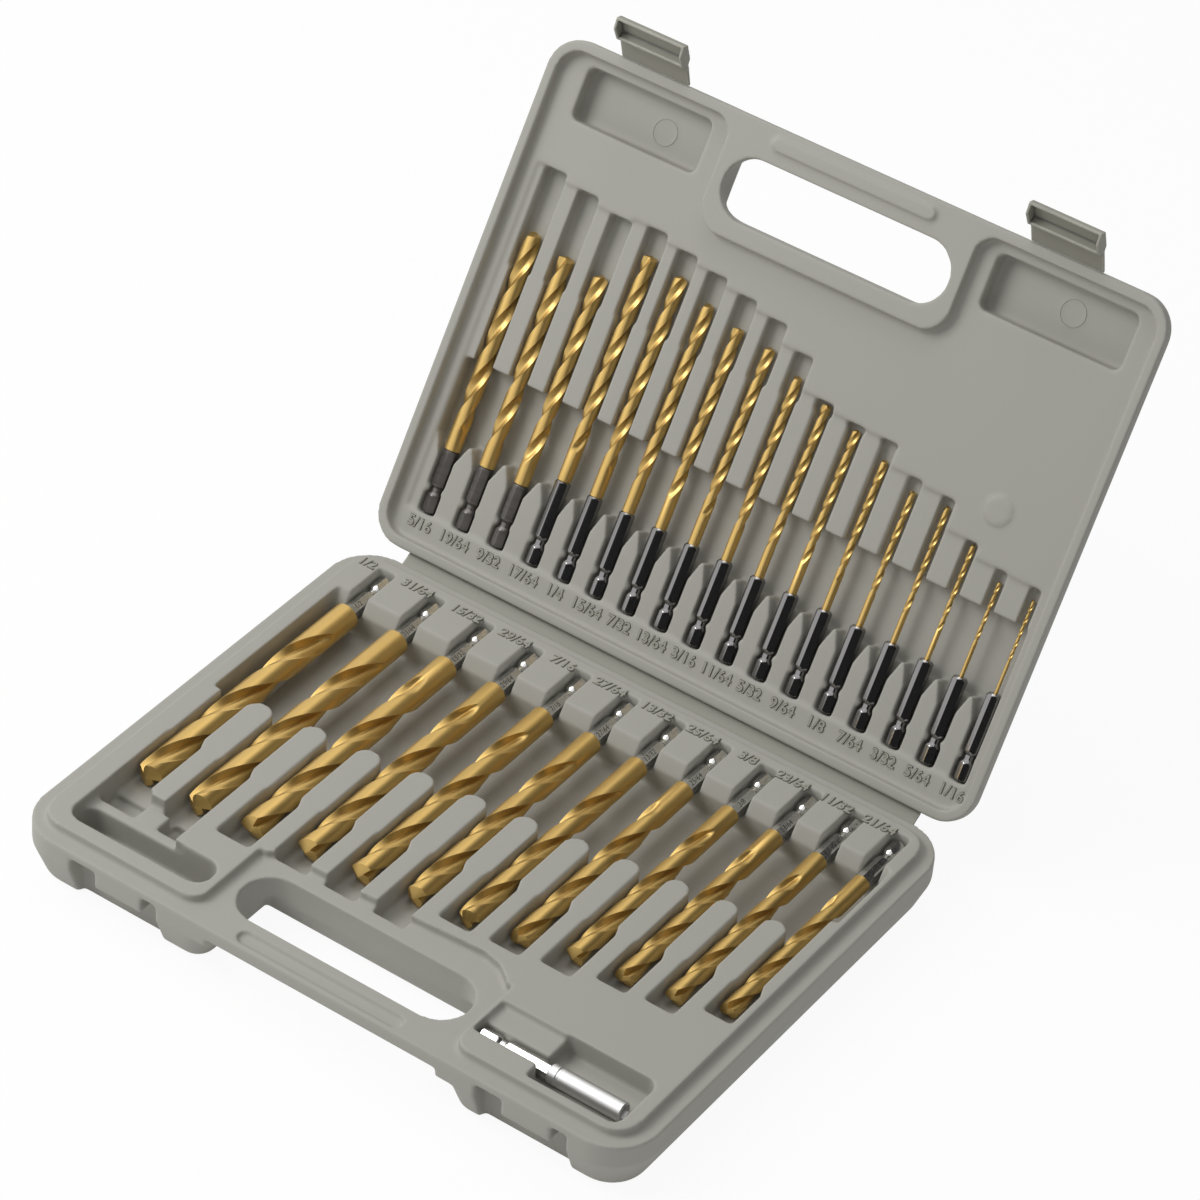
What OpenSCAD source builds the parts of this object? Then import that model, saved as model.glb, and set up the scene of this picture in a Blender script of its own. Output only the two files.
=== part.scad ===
// Drill bit case: a double-walled two-part carrying case that opens on a long
// living hinge, with two snap latches, a grip opening, twelve large reduced
// shank drills and a bit holder in the base and seventeen hex shank drills in
// the lid. Origin: middle of the base's underside, +Z up, hinge along +X at the
// back (+Y), grip at the front (-Y). The lid is drawn at its photographed angle.

/* [Case] */
// Length of the case along its hinge
case_w = 319; // [312:1:335]
// Depth of the case from the hinge to the grip
case_d = 244; // [242:1:256]
// Height of the base half
base_h = 28; // [27:0.5:34]
// Height of the lid half
lid_h = 28; // [26:0.5:34]
// Height of the upright band beside the base's parting face
band_h = 11; // [9:0.5:13]
// Height of the upright band beside the lid's parting face
lid_band_h = 5.5; // [5:0.5:8]
// How far the base's outer walls slope in below the band
bevel_in = 6.5; // [4:0.5:7]
// How far the lid's outer walls slope in beyond the band
lid_bevel_in = 11; // [8:0.5:11]
// Radius of the edges where the base's walls meet its underside
sole_r = 6; // [3:0.5:6]
// Radius of the edges where the lid's walls meet its flat back
lid_sole_r = 3; // [2:0.5:4]
// Radius of the base's outer corners
corner_r = 22; // [16:0.5:22]
// Radius of the lid's outer corners
lid_corner_r = 16; // [15:0.5:20]
// Radius of the ends of the blocks beside the grip opening
block_r = 14; // [14:0.5:16]
// Gap between the two parting faces when the case is closed
seam_gap = 0.3; // [0.2:0.1:0.8]

/* [Rim] */
// Width of the parting flange round the base's raised tray
flange_w = 7.5; // [6.5:0.5:9]
// Height of the base's raised tray above its parting face
island_h = 4; // [3:0.25:4.5]
// Corner radius of the raised tray
island_r = 12; // [6:1:13]
// Radius of the raised tray's corners beside the grip
island_grip_r = 8; // [5:1:9]
// Width of the parting flange round the lid's recess
lid_flange_w = 5; // [4:0.25:5.5]
// Depth of the lid's recess
recess_d = 5.2; // [5:0.1:6]
// Corner radius of the lid's recess
recess_r = 11; // [8:1:13]
// Radius of the recess's corners beside the grip
recess_grip_r = 9; // [5:1:10]

/* [Grip] */
// Length of the grip opening
grip_w = 116.5; // [100:0.5:118]
// Width of the grip opening
grip_d = 28.9; // [26:0.1:30]
// Distance from the front edge to the grip opening
grip_in = 16.2; // [15:0.1:17.5]
// Thickness of each half of the grip bar
bar_t = 7; // [7:0.5:10]
// Distance from the middle of the case to the left block beside the grip bar
block_left = 55; // [50:1:56]
// Distance from the middle of the case to the right block beside the grip bar
block_right = 64; // [52:0.5:68]
// Width of the lid's flat land beyond the grip opening
land_w = 9.2; // [8.8:0.1:9.4]
// Length of the groove and rib on the grip bar
key_w = 84; // [60:1:90]
// Width of the rib on the lid's grip bar
key_d = 6; // [4:0.5:7]
// Height of the rib, and depth of its groove
key_h = 1.6; // [1:0.1:2.5]
// Clearance all round the rib when it lies in the groove
key_gap = 0.4; // [0.3:0.1:1]

/* [Hinge] */
// Length of the hinge strip along the case
strip_w = 275; // [200:1:275]
// Thickness of the hinge strip
strip_t = 1.2; // [0.8:0.1:1.6]
// Distance of each fold line from its parting face
fold_in = 3.5; // [3:0.25:5]
// Clearance between the strip and the walls behind it
strip_gap = 0.3; // [0.3:0.1:0.6]
// Angle that the lid is drawn open
open_deg = 121.3; // [95:0.1:175]

/* [Latches] */
// Distance of each latch's middle from the middle of the case
latch_x = 106.3; // [104:0.1:107]
// Distance that both latches sit to the left
latch_left = 2; // [0:0.1:2.2]
// Width of each latch
latch_w = 36; // [30:0.5:36.5]
// Thickness of the latch's walls
latch_t = 1.5; // [1.2:0.1:2]
// Distance from the latch's fold line to its hooked lip
lip_at = 13.2; // [12.8:0.1:15]
// Distance from the latch's fold line to its finger edge
latch_len = 24.6; // [22:0.2:25.4]
// Angle that the latches are drawn away from closed
latch_deg = 32.5; // [0:0.5:90]
// Distance of each front recess's middle from the middle of the case
bay_x = 105.5; // [104:0.5:107]
// Distance that both front recesses sit to the right
bay_right = 1; // [0:0.1:1.5]
// Width of the recess in the front wall behind each latch
bay_w = 46; // [44:0.5:48]
// Depth of that recess
bay_d = 10.5; // [8:0.5:11]
// Distance of the recess below the parting face
bay_top = 3.8; // [3:0.2:6]
// Width of the boss in the middle of the recess
boss_w = 24.5; // [16:0.5:28]
// Distance that the boss sits to the right of its recess's middle
boss_right = 2.8; // [0:0.1:4]
// Distance from the parting face to the boss's lower edge
boss_low = 12.2; // [10:0.1:12.4]

/* [Large drills] */
// Number of large drills
big_n = 12; // [12:1:12]
// Diameter of the largest drill, in sixty-fourths of an inch
big_first = 32; // [30:1:32]
// Distance of the largest drill's axis from the left end of the case
big_x1 = 25.2; // [24:0.1:26]
// Distance of the last large drill's axis from the right end of the case
big_x2 = 19.02; // [18.5:0.02:20]
// Reduction of that distance from one drill to the next
big_step = 0.584; // [0.55:0.002:0.6]
// Height of the large drills' axes above the parting face
big_rise = -2.2; // [-3:0.1:-2.1]
// Length of the hex shank that shows behind the body
big_hex_len = 29.8; // [26:0.2:31]
// Length of plain body before the flutes start
big_plain = 22; // [16:1:30]

/* [Small drills] */
// Number of small drills
small_n = 17; // [17:1:17]
// Diameter of the largest small drill, in sixty-fourths of an inch
small_first = 20; // [20:1:20]
// Distance of its axis from the left end of the case
small_x1 = 20.6; // [19.5:0.1:21]
// Distance of the last small drill's axis from the right end of the case
small_x2 = 13.3; // [13:0.1:14]
// How much wider the first three gaps between the small drills are
small_wider = 1.7; // [1.5:0.1:1.9]
// Depth of the small drills' axes below the lid's parting face
small_sink = 9.2; // [9:0.1:10.5]
// Hex shank length of the three largest
short_hex = 30.9; // [28:0.1:33]
// Hex shank length of the others
long_hex = 41; // [38:0.5:43]

/* [Shanks] */
// Width across the flats of every hex shank
hex_af = 6.35; // [6.2:0.05:6.4]
// Distance from the shank's end to the middle of its locking ring
ring_at = 11; // [10:0.5:12]
// Length of the locking ring
ring_len = 6; // [4:0.5:7]
// Diameter at the bottom of the locking ring
ring_d = 4.7; // [4:0.1:5.2]

/* [Tray] */
// Clearance between a drill and the floor that it lies on
rest_gap = 0.3; // [0.2:0.05:0.5]
// Side clearance of a large drill in its slot
slot_gap = 0.6; // [0.5:0.1:1]
// Clearance at the end of each shank
end_gap = 0.6; // [0.4:0.1:1]
// Width of the shank grooves
hex_slot = 9; // [8.6:0.1:9.6]
// Depth of the finger channel below the raised tray's top
channel_d = 18; // [16:0.5:20]
// Depth of the finger channel below the lid's parting face
lid_channel_d = 15.5; // [14:0.5:18]
// Depth of the lid's upper pockets below its parting face
pocket_d = 14; // [10:0.5:18]
// Depth of the accessory pocket below the raised tray's top
box_d = 19; // [12:0.5:22]
// How far the small shelves lie below the raised tray's top
shelf_drop = 6; // [5:0.5:8]
// How far the lid's ribs lie below its recess floor
rib_drop = 1.2; // [0.6:0.1:2]

/* [Bit holder] */
// Diameter of the holder's sleeve
sleeve_d = 8.8; // [8.5:0.1:10]
// Length of the holder's sleeve
sleeve_len = 36.5; // [32:0.5:38]
// Length of the shank that stands out of the sleeve
holder_hex = 34.8; // [31:0.2:35.4]
// Depth of the holder's axis below the parting face
holder_sink = 2.1; // [2:0.1:4.5]
// Depth of the hex socket in the sleeve's mouth
socket_len = 12; // [8:0.5:14]

/* [Hidden] */
$fn = 48;
e = 0.01;
in64 = 25.4 / 64;
hex_r = hex_af / sqrt(3);
zp = base_h;                     // parting plane
zt = zp + island_h;              // top of the raised tray
xe = case_w / 2;
yb = case_d / 2;
slope_d = base_h - band_h;
lid_slope_d = lid_h - lid_band_h;
grip_y = -yb + grip_in + grip_d / 2;
grip_side = grip_w / 2;
fold_out = strip_gap + strip_t / 2;
strip_len = 2 * fold_in + seam_gap;
half_open = open_deg / 2;
fold_y = yb + fold_out;
fold_z = zp - fold_in;
lid_fold_y = fold_y + strip_len * sin(half_open);
lid_fold_z = fold_z + strip_len * cos(half_open);
lid_tilt = 180 - open_deg;
latch_out = strip_gap + latch_t / 2;
latch_sink = 1;

// Large drills: diameter, axis and length of each
big_len = [171.5, 172.6, 169.8, 165.8, 163.4, 159.5, 156.4, 152.4, 146.4, 143.9, 140.1, 132.4];
big_pitch = (case_w - big_x1 - big_x2 + big_step * (big_n - 1) * (big_n - 2) / 2) / (big_n - 1);
function big_d(i) = (big_first - i) * in64;
function big_x(i) = -xe + big_x1 + i * big_pitch - big_step * i * (i - 1) / 2;
big_z = zp + big_rise;
hex_wall_y = yb - 13;
big_end_y = hex_wall_y - end_gap;
big_step_y = big_end_y - big_hex_len;
function big_tip_y(i) = big_end_y - big_len[i];

// Slots of the base: where each widens and where it ends
jog_y = [-36, -37, -38, -35, -31, -26, -21, -18, -17, -16, -11, -9];
slot_front = [-76, -76, -74.5, -69.6, -69.6, -69.6, -57.3, -55.5, -52.3, -46, -43.5, -33.2];
function slot_l(i) = big_x(i) - big_d(i) / 2 - slot_gap;
function slot_r(i) = big_x(i) + big_d(i) / 2 + slot_gap + 0.8;
function rib_y(i) = yb - 119.8 + 2.85 * i;

// Small drills: diameter, axis and length of each, along the lid
small_len = [137, 133.1, 132.3, 149.4, 147.2, 141.2, 137, 135.3, 128.9, 123.1, 118.8, 112,
             105, 105.6, 95.4, 85.8, 85.1];
function small_d(i) = (small_first - i) * in64;
small_pitch = (case_w - small_x1 - small_x2 - 3 * small_wider) / (small_n - 1);
function small_x(i) = -xe + small_x1 + i * small_pitch + min(i, 3) * small_wider;
function small_hex(i) = i < 3 ? short_hex : long_hex;
small_v0 = 18.7;
small_n0 = -small_sink;
lid_top = [185.5, 182, 178.4, 180.1, 176.7, 173.5, 169.9, 166.3, 157.7, 143.2, 140, 139.6,
           129.8, 128.3, 115.5, 109.7, 109.3];
function lid_slot_half(i) = small_d(i) / 2 + 1.1 + 0.06 * i;
rib_n = -recess_d - rib_drop;

// Bit holder
holder_x0 = xe - 90;
holder_y = -yb + 24.4;
holder_z = zp - holder_sink;

// ---------- helpers ----------

// Places children that are drawn in the lid's own frame: X along the hinge, Y
// from the hinge edge to the grip edge, Z out of the parting face
module on_lid() {
    translate([0, lid_fold_y, lid_fold_z])
        rotate([lid_tilt, 0, 0])
            translate([0, fold_out, fold_in])
                children();
}

// Rounded rectangle between two corners
module plate2d(x0, x1, y0, y1, r) {
    translate([x0 + r, y0]) square([x1 - x0 - 2 * r, y1 - y0]);
    translate([x0, y0 + r]) square([x1 - x0, y1 - y0 - 2 * r]);
    for (x = [x0 + r, x1 - r])
        for (y = [y0 + r, y1 - r])
            translate([x, y]) circle(r);
}

// Outline of one wall of a sloped block, from its vertical middle line
module wall_profile(half, depth, bevel, r) {
    len = norm([bevel, depth]);
    cx = half - bevel + r * (bevel - len) / depth;
    polygon([[0, 0], [cx, 0], [cx, r], [cx + r * depth / len, r - r * bevel / len],
             [half, depth], [half, depth + e], [0, depth + e]]);
    intersection() {
        translate([cx, r]) circle(r);
        translate([cx - e, 0]) square([2 * r, r]);
    }
}

// A block whose four walls slope in towards its foot, with round corners
module sloped_block(x0, x1, y0, y1, r, depth, bevel, sole) {
    for (x = [x0 + r, x1 - r])
        for (y = [y0 + r, y1 - r])
            translate([x, y, 0]) rotate_extrude() wall_profile(r, depth, bevel, sole);
    for (s = [0, 1])
        translate([s == 0 ? x0 + r : x1 - r, y0 + r, 0])
            mirror([1 - s, 0, 0])
                rotate([90, 0, 180]) mirror([1, 0, 0]) linear_extrude(y1 - y0 - 2 * r)
                    wall_profile(r, depth, bevel, sole);
    for (s = [0, 1])
        translate([x0 + r, s == 0 ? y0 + r : y1 - r, 0])
            mirror([0, 1 - s, 0])
                rotate([90, 0, 90]) linear_extrude(x1 - x0 - 2 * r) wall_profile(r, depth, bevel, sole);
    translate([x0 + r, y0 + r, 0]) cube([x1 - x0 - 2 * r, y1 - y0 - 2 * r, depth + e]);
}

// The grip opening in plan
module grip2d() {
    for (x = [-grip_side + grip_d / 2, grip_side - grip_d / 2])
        translate([x, 0]) circle(grip_d / 2);
    translate([-grip_side + grip_d / 2, -grip_d / 2]) square([grip_w - grip_d, grip_d]);
}

// A long groove or rib with round ends
module stadium2d(w, d) {
    for (s = [-1, 1])
        translate([s * (w - d) / 2, 0]) circle(d / 2);
    translate([-(w - d) / 2, -d / 2]) square([w - d, d]);
}

// Outer body shared by both halves, parting face at the top of h
module half_body(h, depth, band, bevel, sole, corner) {
    translate([0, 0, h - band])
        linear_extrude(band)
            difference() {
                plate2d(-xe, xe, -yb, yb, corner);
                translate([0, grip_y]) grip2d();
            }
    difference() {
        union() {
            sloped_block(-xe, xe, grip_y + grip_d / 2 - 1, yb, corner, depth, bevel, sole);
            sloped_block(-xe, -block_left - 10, -yb, 0, corner, depth, bevel, sole);
            sloped_block(-xe + 30, -block_left, -yb, -40, block_r, depth, bevel, sole);
            sloped_block(block_right + 10, xe, -yb, 0, corner, depth, bevel, sole);
            sloped_block(block_right, xe - 30, -yb, -40, block_r, depth, bevel, sole);
        }
        translate([0, grip_y, -1]) linear_extrude(h + 2) grip2d();
    }
}

// Takes the grip bar down to its own thickness
module bar_cut(h) {
    translate([-block_left, -yb - 1, -1])
        cube([block_left + block_right, grip_in + 1 + grip_d / 2, h - bar_t + 1]);
}

// ---------- base ----------

// What rounds a corner at x, y that opens towards +X or -X, and +Y or -Y
module corner2d(x, y, r, side, up) {
    translate([x, y])
        difference() {
            translate([side > 0 ? -e : -r, up > 0 ? -e : -r]) square(r + e);
            translate([side * r, up * r]) circle(r);
        }
}

// Raised tray in plan, with its cut-out round the grip
module island2d() {
    f = flange_w;
    difference() {
        plate2d(-xe + f, xe - f, -yb + f, yb - f, island_r);
        translate([0, grip_y]) {
            translate([-grip_side - 7, -grip_in - grip_d / 2])
                square([grip_w + 15, grip_in + grip_d + 5]);
            polygon([[-63, 0], [-63, 18.8], [-58.2, 22.4], [-47, 24.4], [-16, 24.8], [45, 28.9], [54.6, 26.5],
                     [62, 21], [66, 12], [66, 0]]);
        }
        corner2d(-grip_side - 7, -yb + f, island_grip_r, -1, 1);
        corner2d(grip_side + 8, -yb + f, island_grip_r, 1, 1);
    }
}

// One slot in plan, narrow behind its step and wide in front of it
module slot2d(i) {
    l = slot_l(i);
    r = slot_r(i);
    polygon([[l, rib_y(i)], [r, rib_y(i)], [r, jog_y[i] + 3], [r + 2.4, jog_y[i] - 3],
             [r + 2.4, slot_front[i]], [l - 1, slot_front[i]], [l - 1, jog_y[i] - 4], [l, jog_y[i]]]);
}

// The finger channel in plan, with the ribs' rounded ends standing in it
module channel2d() {
    back = yb - 44;
    for (i = [0 : big_n - 1])
        translate([slot_l(i) - e, rib_y(i) - 10])
            square([slot_r(i) - slot_l(i) + 2 * e, back - rib_y(i) + 10]);
    for (i = [0 : big_n - 2]) {
        l = slot_r(i);
        w = slot_l(i + 1) - l;
        difference() {
            translate([l, rib_y(i) - w / 2]) square([w, back - rib_y(i) + w / 2]);
            translate([l + w / 2, rib_y(i) - w / 2]) circle(w / 2);
            translate([l - 1, rib_y(i) - w]) square([w + 2, w / 2]);
        }
    }
    translate([slot_l(0) - 4.3, -2]) square([5, back + 2]);
    translate([slot_r(big_n - 1) - 1, yb - 77]) square([4, back - yb + 77]);
    translate([slot_l(0) - 4.3, back - 10]) square([slot_r(big_n - 1) - slot_l(0) + 7.3, 15]);
}

// One tongue between two shank grooves, from its left to its right edge
module tongue(l, r) {
    w = r - l;
    c = min(8, w / 2 - 0.5);
    intersection() {
        linear_extrude(zt)
            plate2d(l, r, yb - 46, yb + 20, c);
        translate([l - 1, 0, 0])
            rotate([90, 0, 90])
                linear_extrude(w + 2)
                    polygon([[yb - 46, 0], [yb - 46, zt - channel_d], [yb - 34.5, zt], [yb, zt], [yb, 0]]);
    }
}

// Small retaining nub on each side of a shank groove
module nubs(x, y, z) {
    for (s = [-1, 1])
        translate([x + s * (hex_slot / 2 + 0.7), y, z - 5])
            cylinder(h = 6, r = 2);
}

module base_cuts() {
    floor_z = zt - channel_d;
    // finger channel, its back wall set under the tongues
    translate([0, 0, floor_z]) linear_extrude(channel_d + 1) channel2d();
    difference() {
        translate([slot_l(0) - 4, yb - 42, floor_z + 3])
            cube([slot_r(big_n - 1) - slot_l(0) + 6.8, 29, channel_d + 1]);
        tongue(-xe, big_x(0) - hex_slot / 2);
        for (i = [0 : big_n - 2])
            tongue(big_x(i) + hex_slot / 2, big_x(i + 1) - hex_slot / 2);
        tongue(big_x(big_n - 1) + hex_slot / 2, xe + 10);
        for (i = [0 : big_n - 1])
            translate([big_x(i) - hex_slot / 2 - 1, yb - 43, 0])
                cube([hex_slot + 2, 40, big_z - hex_r - rest_gap]);
    }
    // slots
    for (i = [0 : big_n - 1])
        translate([0, 0, big_z - big_d(i) / 2 - rest_gap])
            linear_extrude(zt) slot2d(i);
    // shank grooves
    for (i = [0 : big_n - 1])
        difference() {
            translate([big_x(i) - hex_slot / 2, big_step_y - 4, big_z - hex_r - rest_gap])
                cube([hex_slot, hex_wall_y - big_step_y + 4, zt]);
            nubs(big_x(i), big_end_y - ring_at, zp);
        }
    // room for the large bodies behind the finger channel
    for (i = [0 : big_n - 1])
        translate([slot_l(i), yb - 47, big_z - big_d(i) / 2 - rest_gap])
            cube([slot_r(i) - slot_l(i), big_step_y + 1.5 - yb + 47, zt]);
}

// Accessory pocket at the left of the grip
module box_cut() {
    low = zt - box_d;
    step = zt - shelf_drop;
    x0 = -xe + 17.5;
    y0 = -yb + 15.5;
    // the long front trough
    translate([0, 0, low]) linear_extrude(box_d + 1)
        plate2d(x0, x0 + 72, y0, y0 + 15.5, 6.5);
    // the shelf level, with its stem up to the first rib
    translate([0, 0, step]) linear_extrude(shelf_drop + 1) {
        translate([x0, y0 + 8]) square([46, 24]);
        translate([x0 + 44, y0 + 8]) plate2d(0, 8, 0, 8, 3);
    }
    // wells under the first two drills' points
    translate([x0, y0 + 21, low + 3]) cube([20, 13, box_d]);
    translate([x0 + 32, y0 + 21, low + 3]) cube([14, 13, box_d]);
}

// Holder pocket at the right of the grip
module holder_cut() {
    low = holder_z - sleeve_d / 2 - rest_gap;
    y0 = holder_y - 12.5;
    y1 = holder_y + 17.5;
    xs = holder_x0 + 31;
    // room for the sleeve and fingers
    translate([0, 0, low]) linear_extrude(zt)
        difference() {
            plate2d(xs - 8, xe - 14.5, y0, y1, 5);
            translate([xs - 9, y0 - 1]) square([9, y1 - y0 + 2]);
            translate([xe - 18.5, y0]) rotate(-45) translate([0, -10]) square([10, 10]);
        }
    // lower level of the block behind the shank
    translate([holder_x0 - 1, holder_y + 2, zt - 3]) cube([33, y1 - holder_y - 3, 10]);
    // groove for the shank
    difference() {
        translate([holder_x0 - 1.5, holder_y - hex_slot / 2, holder_z - hex_r - rest_gap])
            cube([34, hex_slot, zt]);
        for (s = [-1, 1])
            translate([holder_x0 + ring_at, holder_y + s * (hex_slot / 2 + 0.7), holder_z - 5])
                cylinder(h = 6, r = 2);
    }
}

// Recess in the front wall with the boss that a latch hooks under
module bay_cut(x) {
    translate([x, -yb, 0])
        difference() {
            translate([-bay_w / 2, -1, -1]) cube([bay_w, bay_d + 1, zp - bay_top + 1]);
            translate([boss_right - boss_w / 2, 0, zp - boss_low]) cube([boss_w, bay_d + 1, base_h]);
        }
}

module base_shell() {
    color([0.62, 0.61, 0.57])
        difference() {
            union() {
                half_body(base_h, slope_d, band_h, bevel_in, sole_r, corner_r);
                translate([0, 0, zp - e]) linear_extrude(island_h + e) island2d();
            }
            bar_cut(base_h);
            base_cuts();
            box_cut();
            holder_cut();
            bay_cut(bay_right - bay_x);
            bay_cut(bay_right + bay_x);
            // groove on the grip bar
            translate([0, -yb + key_d / 2 + 3.7, zp - key_h - key_gap])
                linear_extrude(key_h + 1) stadium2d(key_w + 2 * key_gap, key_d + 2 * key_gap);
        }
}

// ---------- lid ----------

// Recess of the lid in plan, with its land round the grip opening
module recess2d() {
    f = lid_flange_w;
    difference() {
        plate2d(-xe + f, xe - f, f, case_d - f, recess_r);
        translate([-grip_side - 6, case_d - grip_in - grip_d - land_w])
            plate2d(0, grip_w + 12, 0, grip_in + grip_d + 30, 13);
        for (s = [-1, 1])
            corner2d(s * (grip_side + 6), case_d - f, recess_grip_r, s, -1);
    }
}

// Stair-shaped field round the small drills
module stair2d() {
    for (i = [0 : small_n - 1]) {
        l = i == 0 ? small_x(0) - 10 : small_x(i - 1) + lid_slot_half(i - 1) + 1;
        r = small_x(i) + lid_slot_half(i) + (i < small_n - 1 ? 1 : 0.4);
        translate([l - e, small_v0 - 0.7]) square([r - l + 2 * e, lid_top[i] - small_v0 + 0.7]);
    }
}

// One slot for a small drill: narrow beside the flutes, wider towards its end
module lid_slot2d(i) {
    h = lid_slot_half(i);
    step_v = 137;
    translate([small_x(i) - h, 60]) square([2 * h, min(lid_top[i], step_v) - 60]);
    if (lid_top[i] > step_v)
        translate([small_x(i) - h - 0.9, step_v - e]) square([2 * h + 1.8, lid_top[i] - step_v]);
}

// One of the lid's lower tongues, chamfered at its end
module lid_tongue(l, r) {
    w = r - l;
    c = min(4.5, w / 2 - 1);
    translate([0, 0, -lid_h])
        linear_extrude(lid_h + rib_n)
            polygon([[l, 0], [r, 0], [r, 45], [r - c, 54.4], [l + c, 54.4], [l, 45]]);
}

module lid_cuts() {
    v_low = small_v0 - end_gap;
    v_rib = 91.5;
    // field of the small drills
    translate([0, 0, rib_n]) linear_extrude(lid_h) stair2d();
    // finger channel and the groove field below it
    xl = small_x(0) - 9;
    xr = small_x(small_n - 1) + 4;
    difference() {
        translate([xl, v_low, -lid_channel_d]) cube([xr - xl, v_rib - v_low, lid_h]);
        // sloped foot of the ribs
        translate([xl - 1, 0, 0]) rotate([90, 0, 90]) linear_extrude(xr - xl + 2)
            polygon([[v_rib - 0.5, -lid_h], [v_rib + 5, -lid_h], [v_rib + 5, rib_n], [v_rib + 3.5, rib_n]]);
        lid_tongue(xl - 5, small_x(0) - hex_slot / 2);
        for (i = [0 : small_n - 2])
            lid_tongue(small_x(i) + hex_slot / 2, small_x(i + 1) - hex_slot / 2);
        // floor under the shanks
        translate([xl - 1, 0, -lid_h - 1])
            cube([xr - xl + 2, 52, lid_h + 1 + small_n0 - hex_r - rest_gap]);
    }
    // slots
    for (i = [0 : small_n - 1])
        translate([0, 0, small_n0 - max(small_d(i) / 2, 1.6) - rest_gap])
            linear_extrude(lid_h) lid_slot2d(i);
    // pockets
    translate([0, 0, -pocket_d]) linear_extrude(lid_h) {
        plate2d(-xe + 18, -xe + 84.4, case_d - 35, case_d - 9.9, 3.5);
        plate2d(xe - 86.3, xe - 16, case_d - 36, case_d - 10.2, 3.5);
    }
}

// Retaining nubs beside the small shanks' locking rings
module lid_nubs() {
    for (i = [0 : small_n - 1])
        for (s = [-1, 1])
            translate([small_x(i) + s * (hex_slot / 2 + 0.7), small_v0 + ring_at, -lid_channel_d])
                cylinder(h = lid_channel_d + rib_n - 0.6, r = 2);
}

// Thin ejector marks and the round button on the lid's floor
module lid_marks() {
    for (p = [[-xe + 60.4, case_d - 24.3], [xe - 47.9, case_d - 22.2]])
        translate([p[0], p[1], -pocket_d - e])
            difference() {
                cylinder(h = 0.4, r = 6.2);
                translate([0, 0, -1]) cylinder(h = 3, r = 5.7);
            }
    translate([xe - 42.2, 132.6, -recess_d - e])
        cylinder(h = 0.9, r = 6.2);
}

module lid_shell() {
    color([0.60, 0.59, 0.55])
        on_lid() {
            difference() {
                translate([0, yb, 0]) rotate([180, 0, 0]) lid_body();
                translate([0, 0, -recess_d]) linear_extrude(lid_h) recess2d();
                lid_cuts();
            }
            lid_nubs();
            lid_marks();
            // rib on the grip bar
            translate([0, case_d - key_d / 2 - 3.7, -e])
                linear_extrude(key_h + e) stadium2d(key_w, key_d);
        }
}

// Lid body with its parting face at zero and its outside below, drawn turned over
module lid_body() {
    mirror([0, 0, 1])
        translate([0, 0, -lid_h])
            difference() {
                half_body(lid_h, lid_slope_d, lid_band_h, lid_bevel_in, lid_sole_r, lid_corner_r);
                bar_cut(lid_h);
            }
}

// ---------- hinge strip ----------

module hinge_strip() {
    color([0.55, 0.54, 0.50])
        translate([-strip_w / 2, fold_y, fold_z])
            rotate([-half_open, 0, 0]) {
                translate([0, -strip_t / 2, 0]) cube([strip_w, strip_t, strip_len]);
                for (z = [0, strip_len])
                    translate([0, 0, z]) rotate([0, 90, 0]) cylinder(h = strip_w, r = strip_t / 2);
            }
}

// ---------- latches ----------

// Latch in section when closed: X away from its fold line, Y away from the wall
module latch_profile() {
    t = latch_t;
    a = lip_at;
    z = latch_len;
    polygon([[0, -t / 2], [a - 0.6, 1.6], [a, -0.9], [a + 1.4, -0.5], [a + 1.3, 3.4], [z - 3, 4.6],
             [z - 0.9, 2.6], [z, 3.5], [z - 2.2, 6.2], [a + 0.2, 5], [a - 1.4, 1.6 + t], [0, t / 2]]);
}

module latch(x) {
    z = latch_len;
    color([0.60, 0.59, 0.55])
        on_lid()
            translate([x - latch_w / 2, case_d + latch_out, -latch_sink])
                rotate([-latch_deg, 0, 0])
                    rotate([90, 0, 90]) mirror([1, -1, 0]) {
                        linear_extrude(latch_w) latch_profile();
                        for (s = [0, latch_w - 1.3])
                            translate([0, 0, s]) linear_extrude(1.3)
                                polygon([[lip_at, -0.9], [z - 3.6, -0.6], [z, 3.5], [z - 2.2, 6.2],
                                         [lip_at + 0.2, 5]]);
                        cylinder(h = latch_w, r = latch_t / 2);
                    }
}

module left_latch() {
    latch(-latch_x - latch_left);
}

module right_latch() {
    latch(latch_x - latch_left);
}

// ---------- drills ----------

// Hex shank with its locking ring, from its end at zero along +X
module shank(len, bore) {
    difference() {
        rotate([0, 90, 0]) cylinder(h = len, r = hex_r, $fn = 6);
        translate([ring_at - ring_len / 2, 0, 0]) rotate([0, 90, 0])
            difference() {
                cylinder(h = ring_len, r = hex_r + 1);
                translate([0, 0, -e]) cylinder(h = ring_len / 3 + e, r1 = hex_r, r2 = ring_d / 2);
                translate([0, 0, ring_len / 3 - e]) cylinder(h = ring_len / 3 + 2 * e, r = ring_d / 2);
                translate([0, 0, 2 * ring_len / 3]) cylinder(h = ring_len / 3 + e, r1 = ring_d / 2, r2 = hex_r);
            }
        if (bore > 0)
            translate([len - 8, 0, 0]) rotate([0, 90, 0]) cylinder(h = 9, r = bore / 2);
    }
}

// Cross-section of a fluted drill: two lands joined by a web
module flute2d(d) {
    half = [[1, 20], [1, 60], [0.97, 100], [0.44, 125], [0.24, 160]];
    polygon([for (k = [0, 180], p = half) 0.492 * d * p[0] * [cos(p[1] + k), sin(p[1] + k)]]);
}

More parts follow.
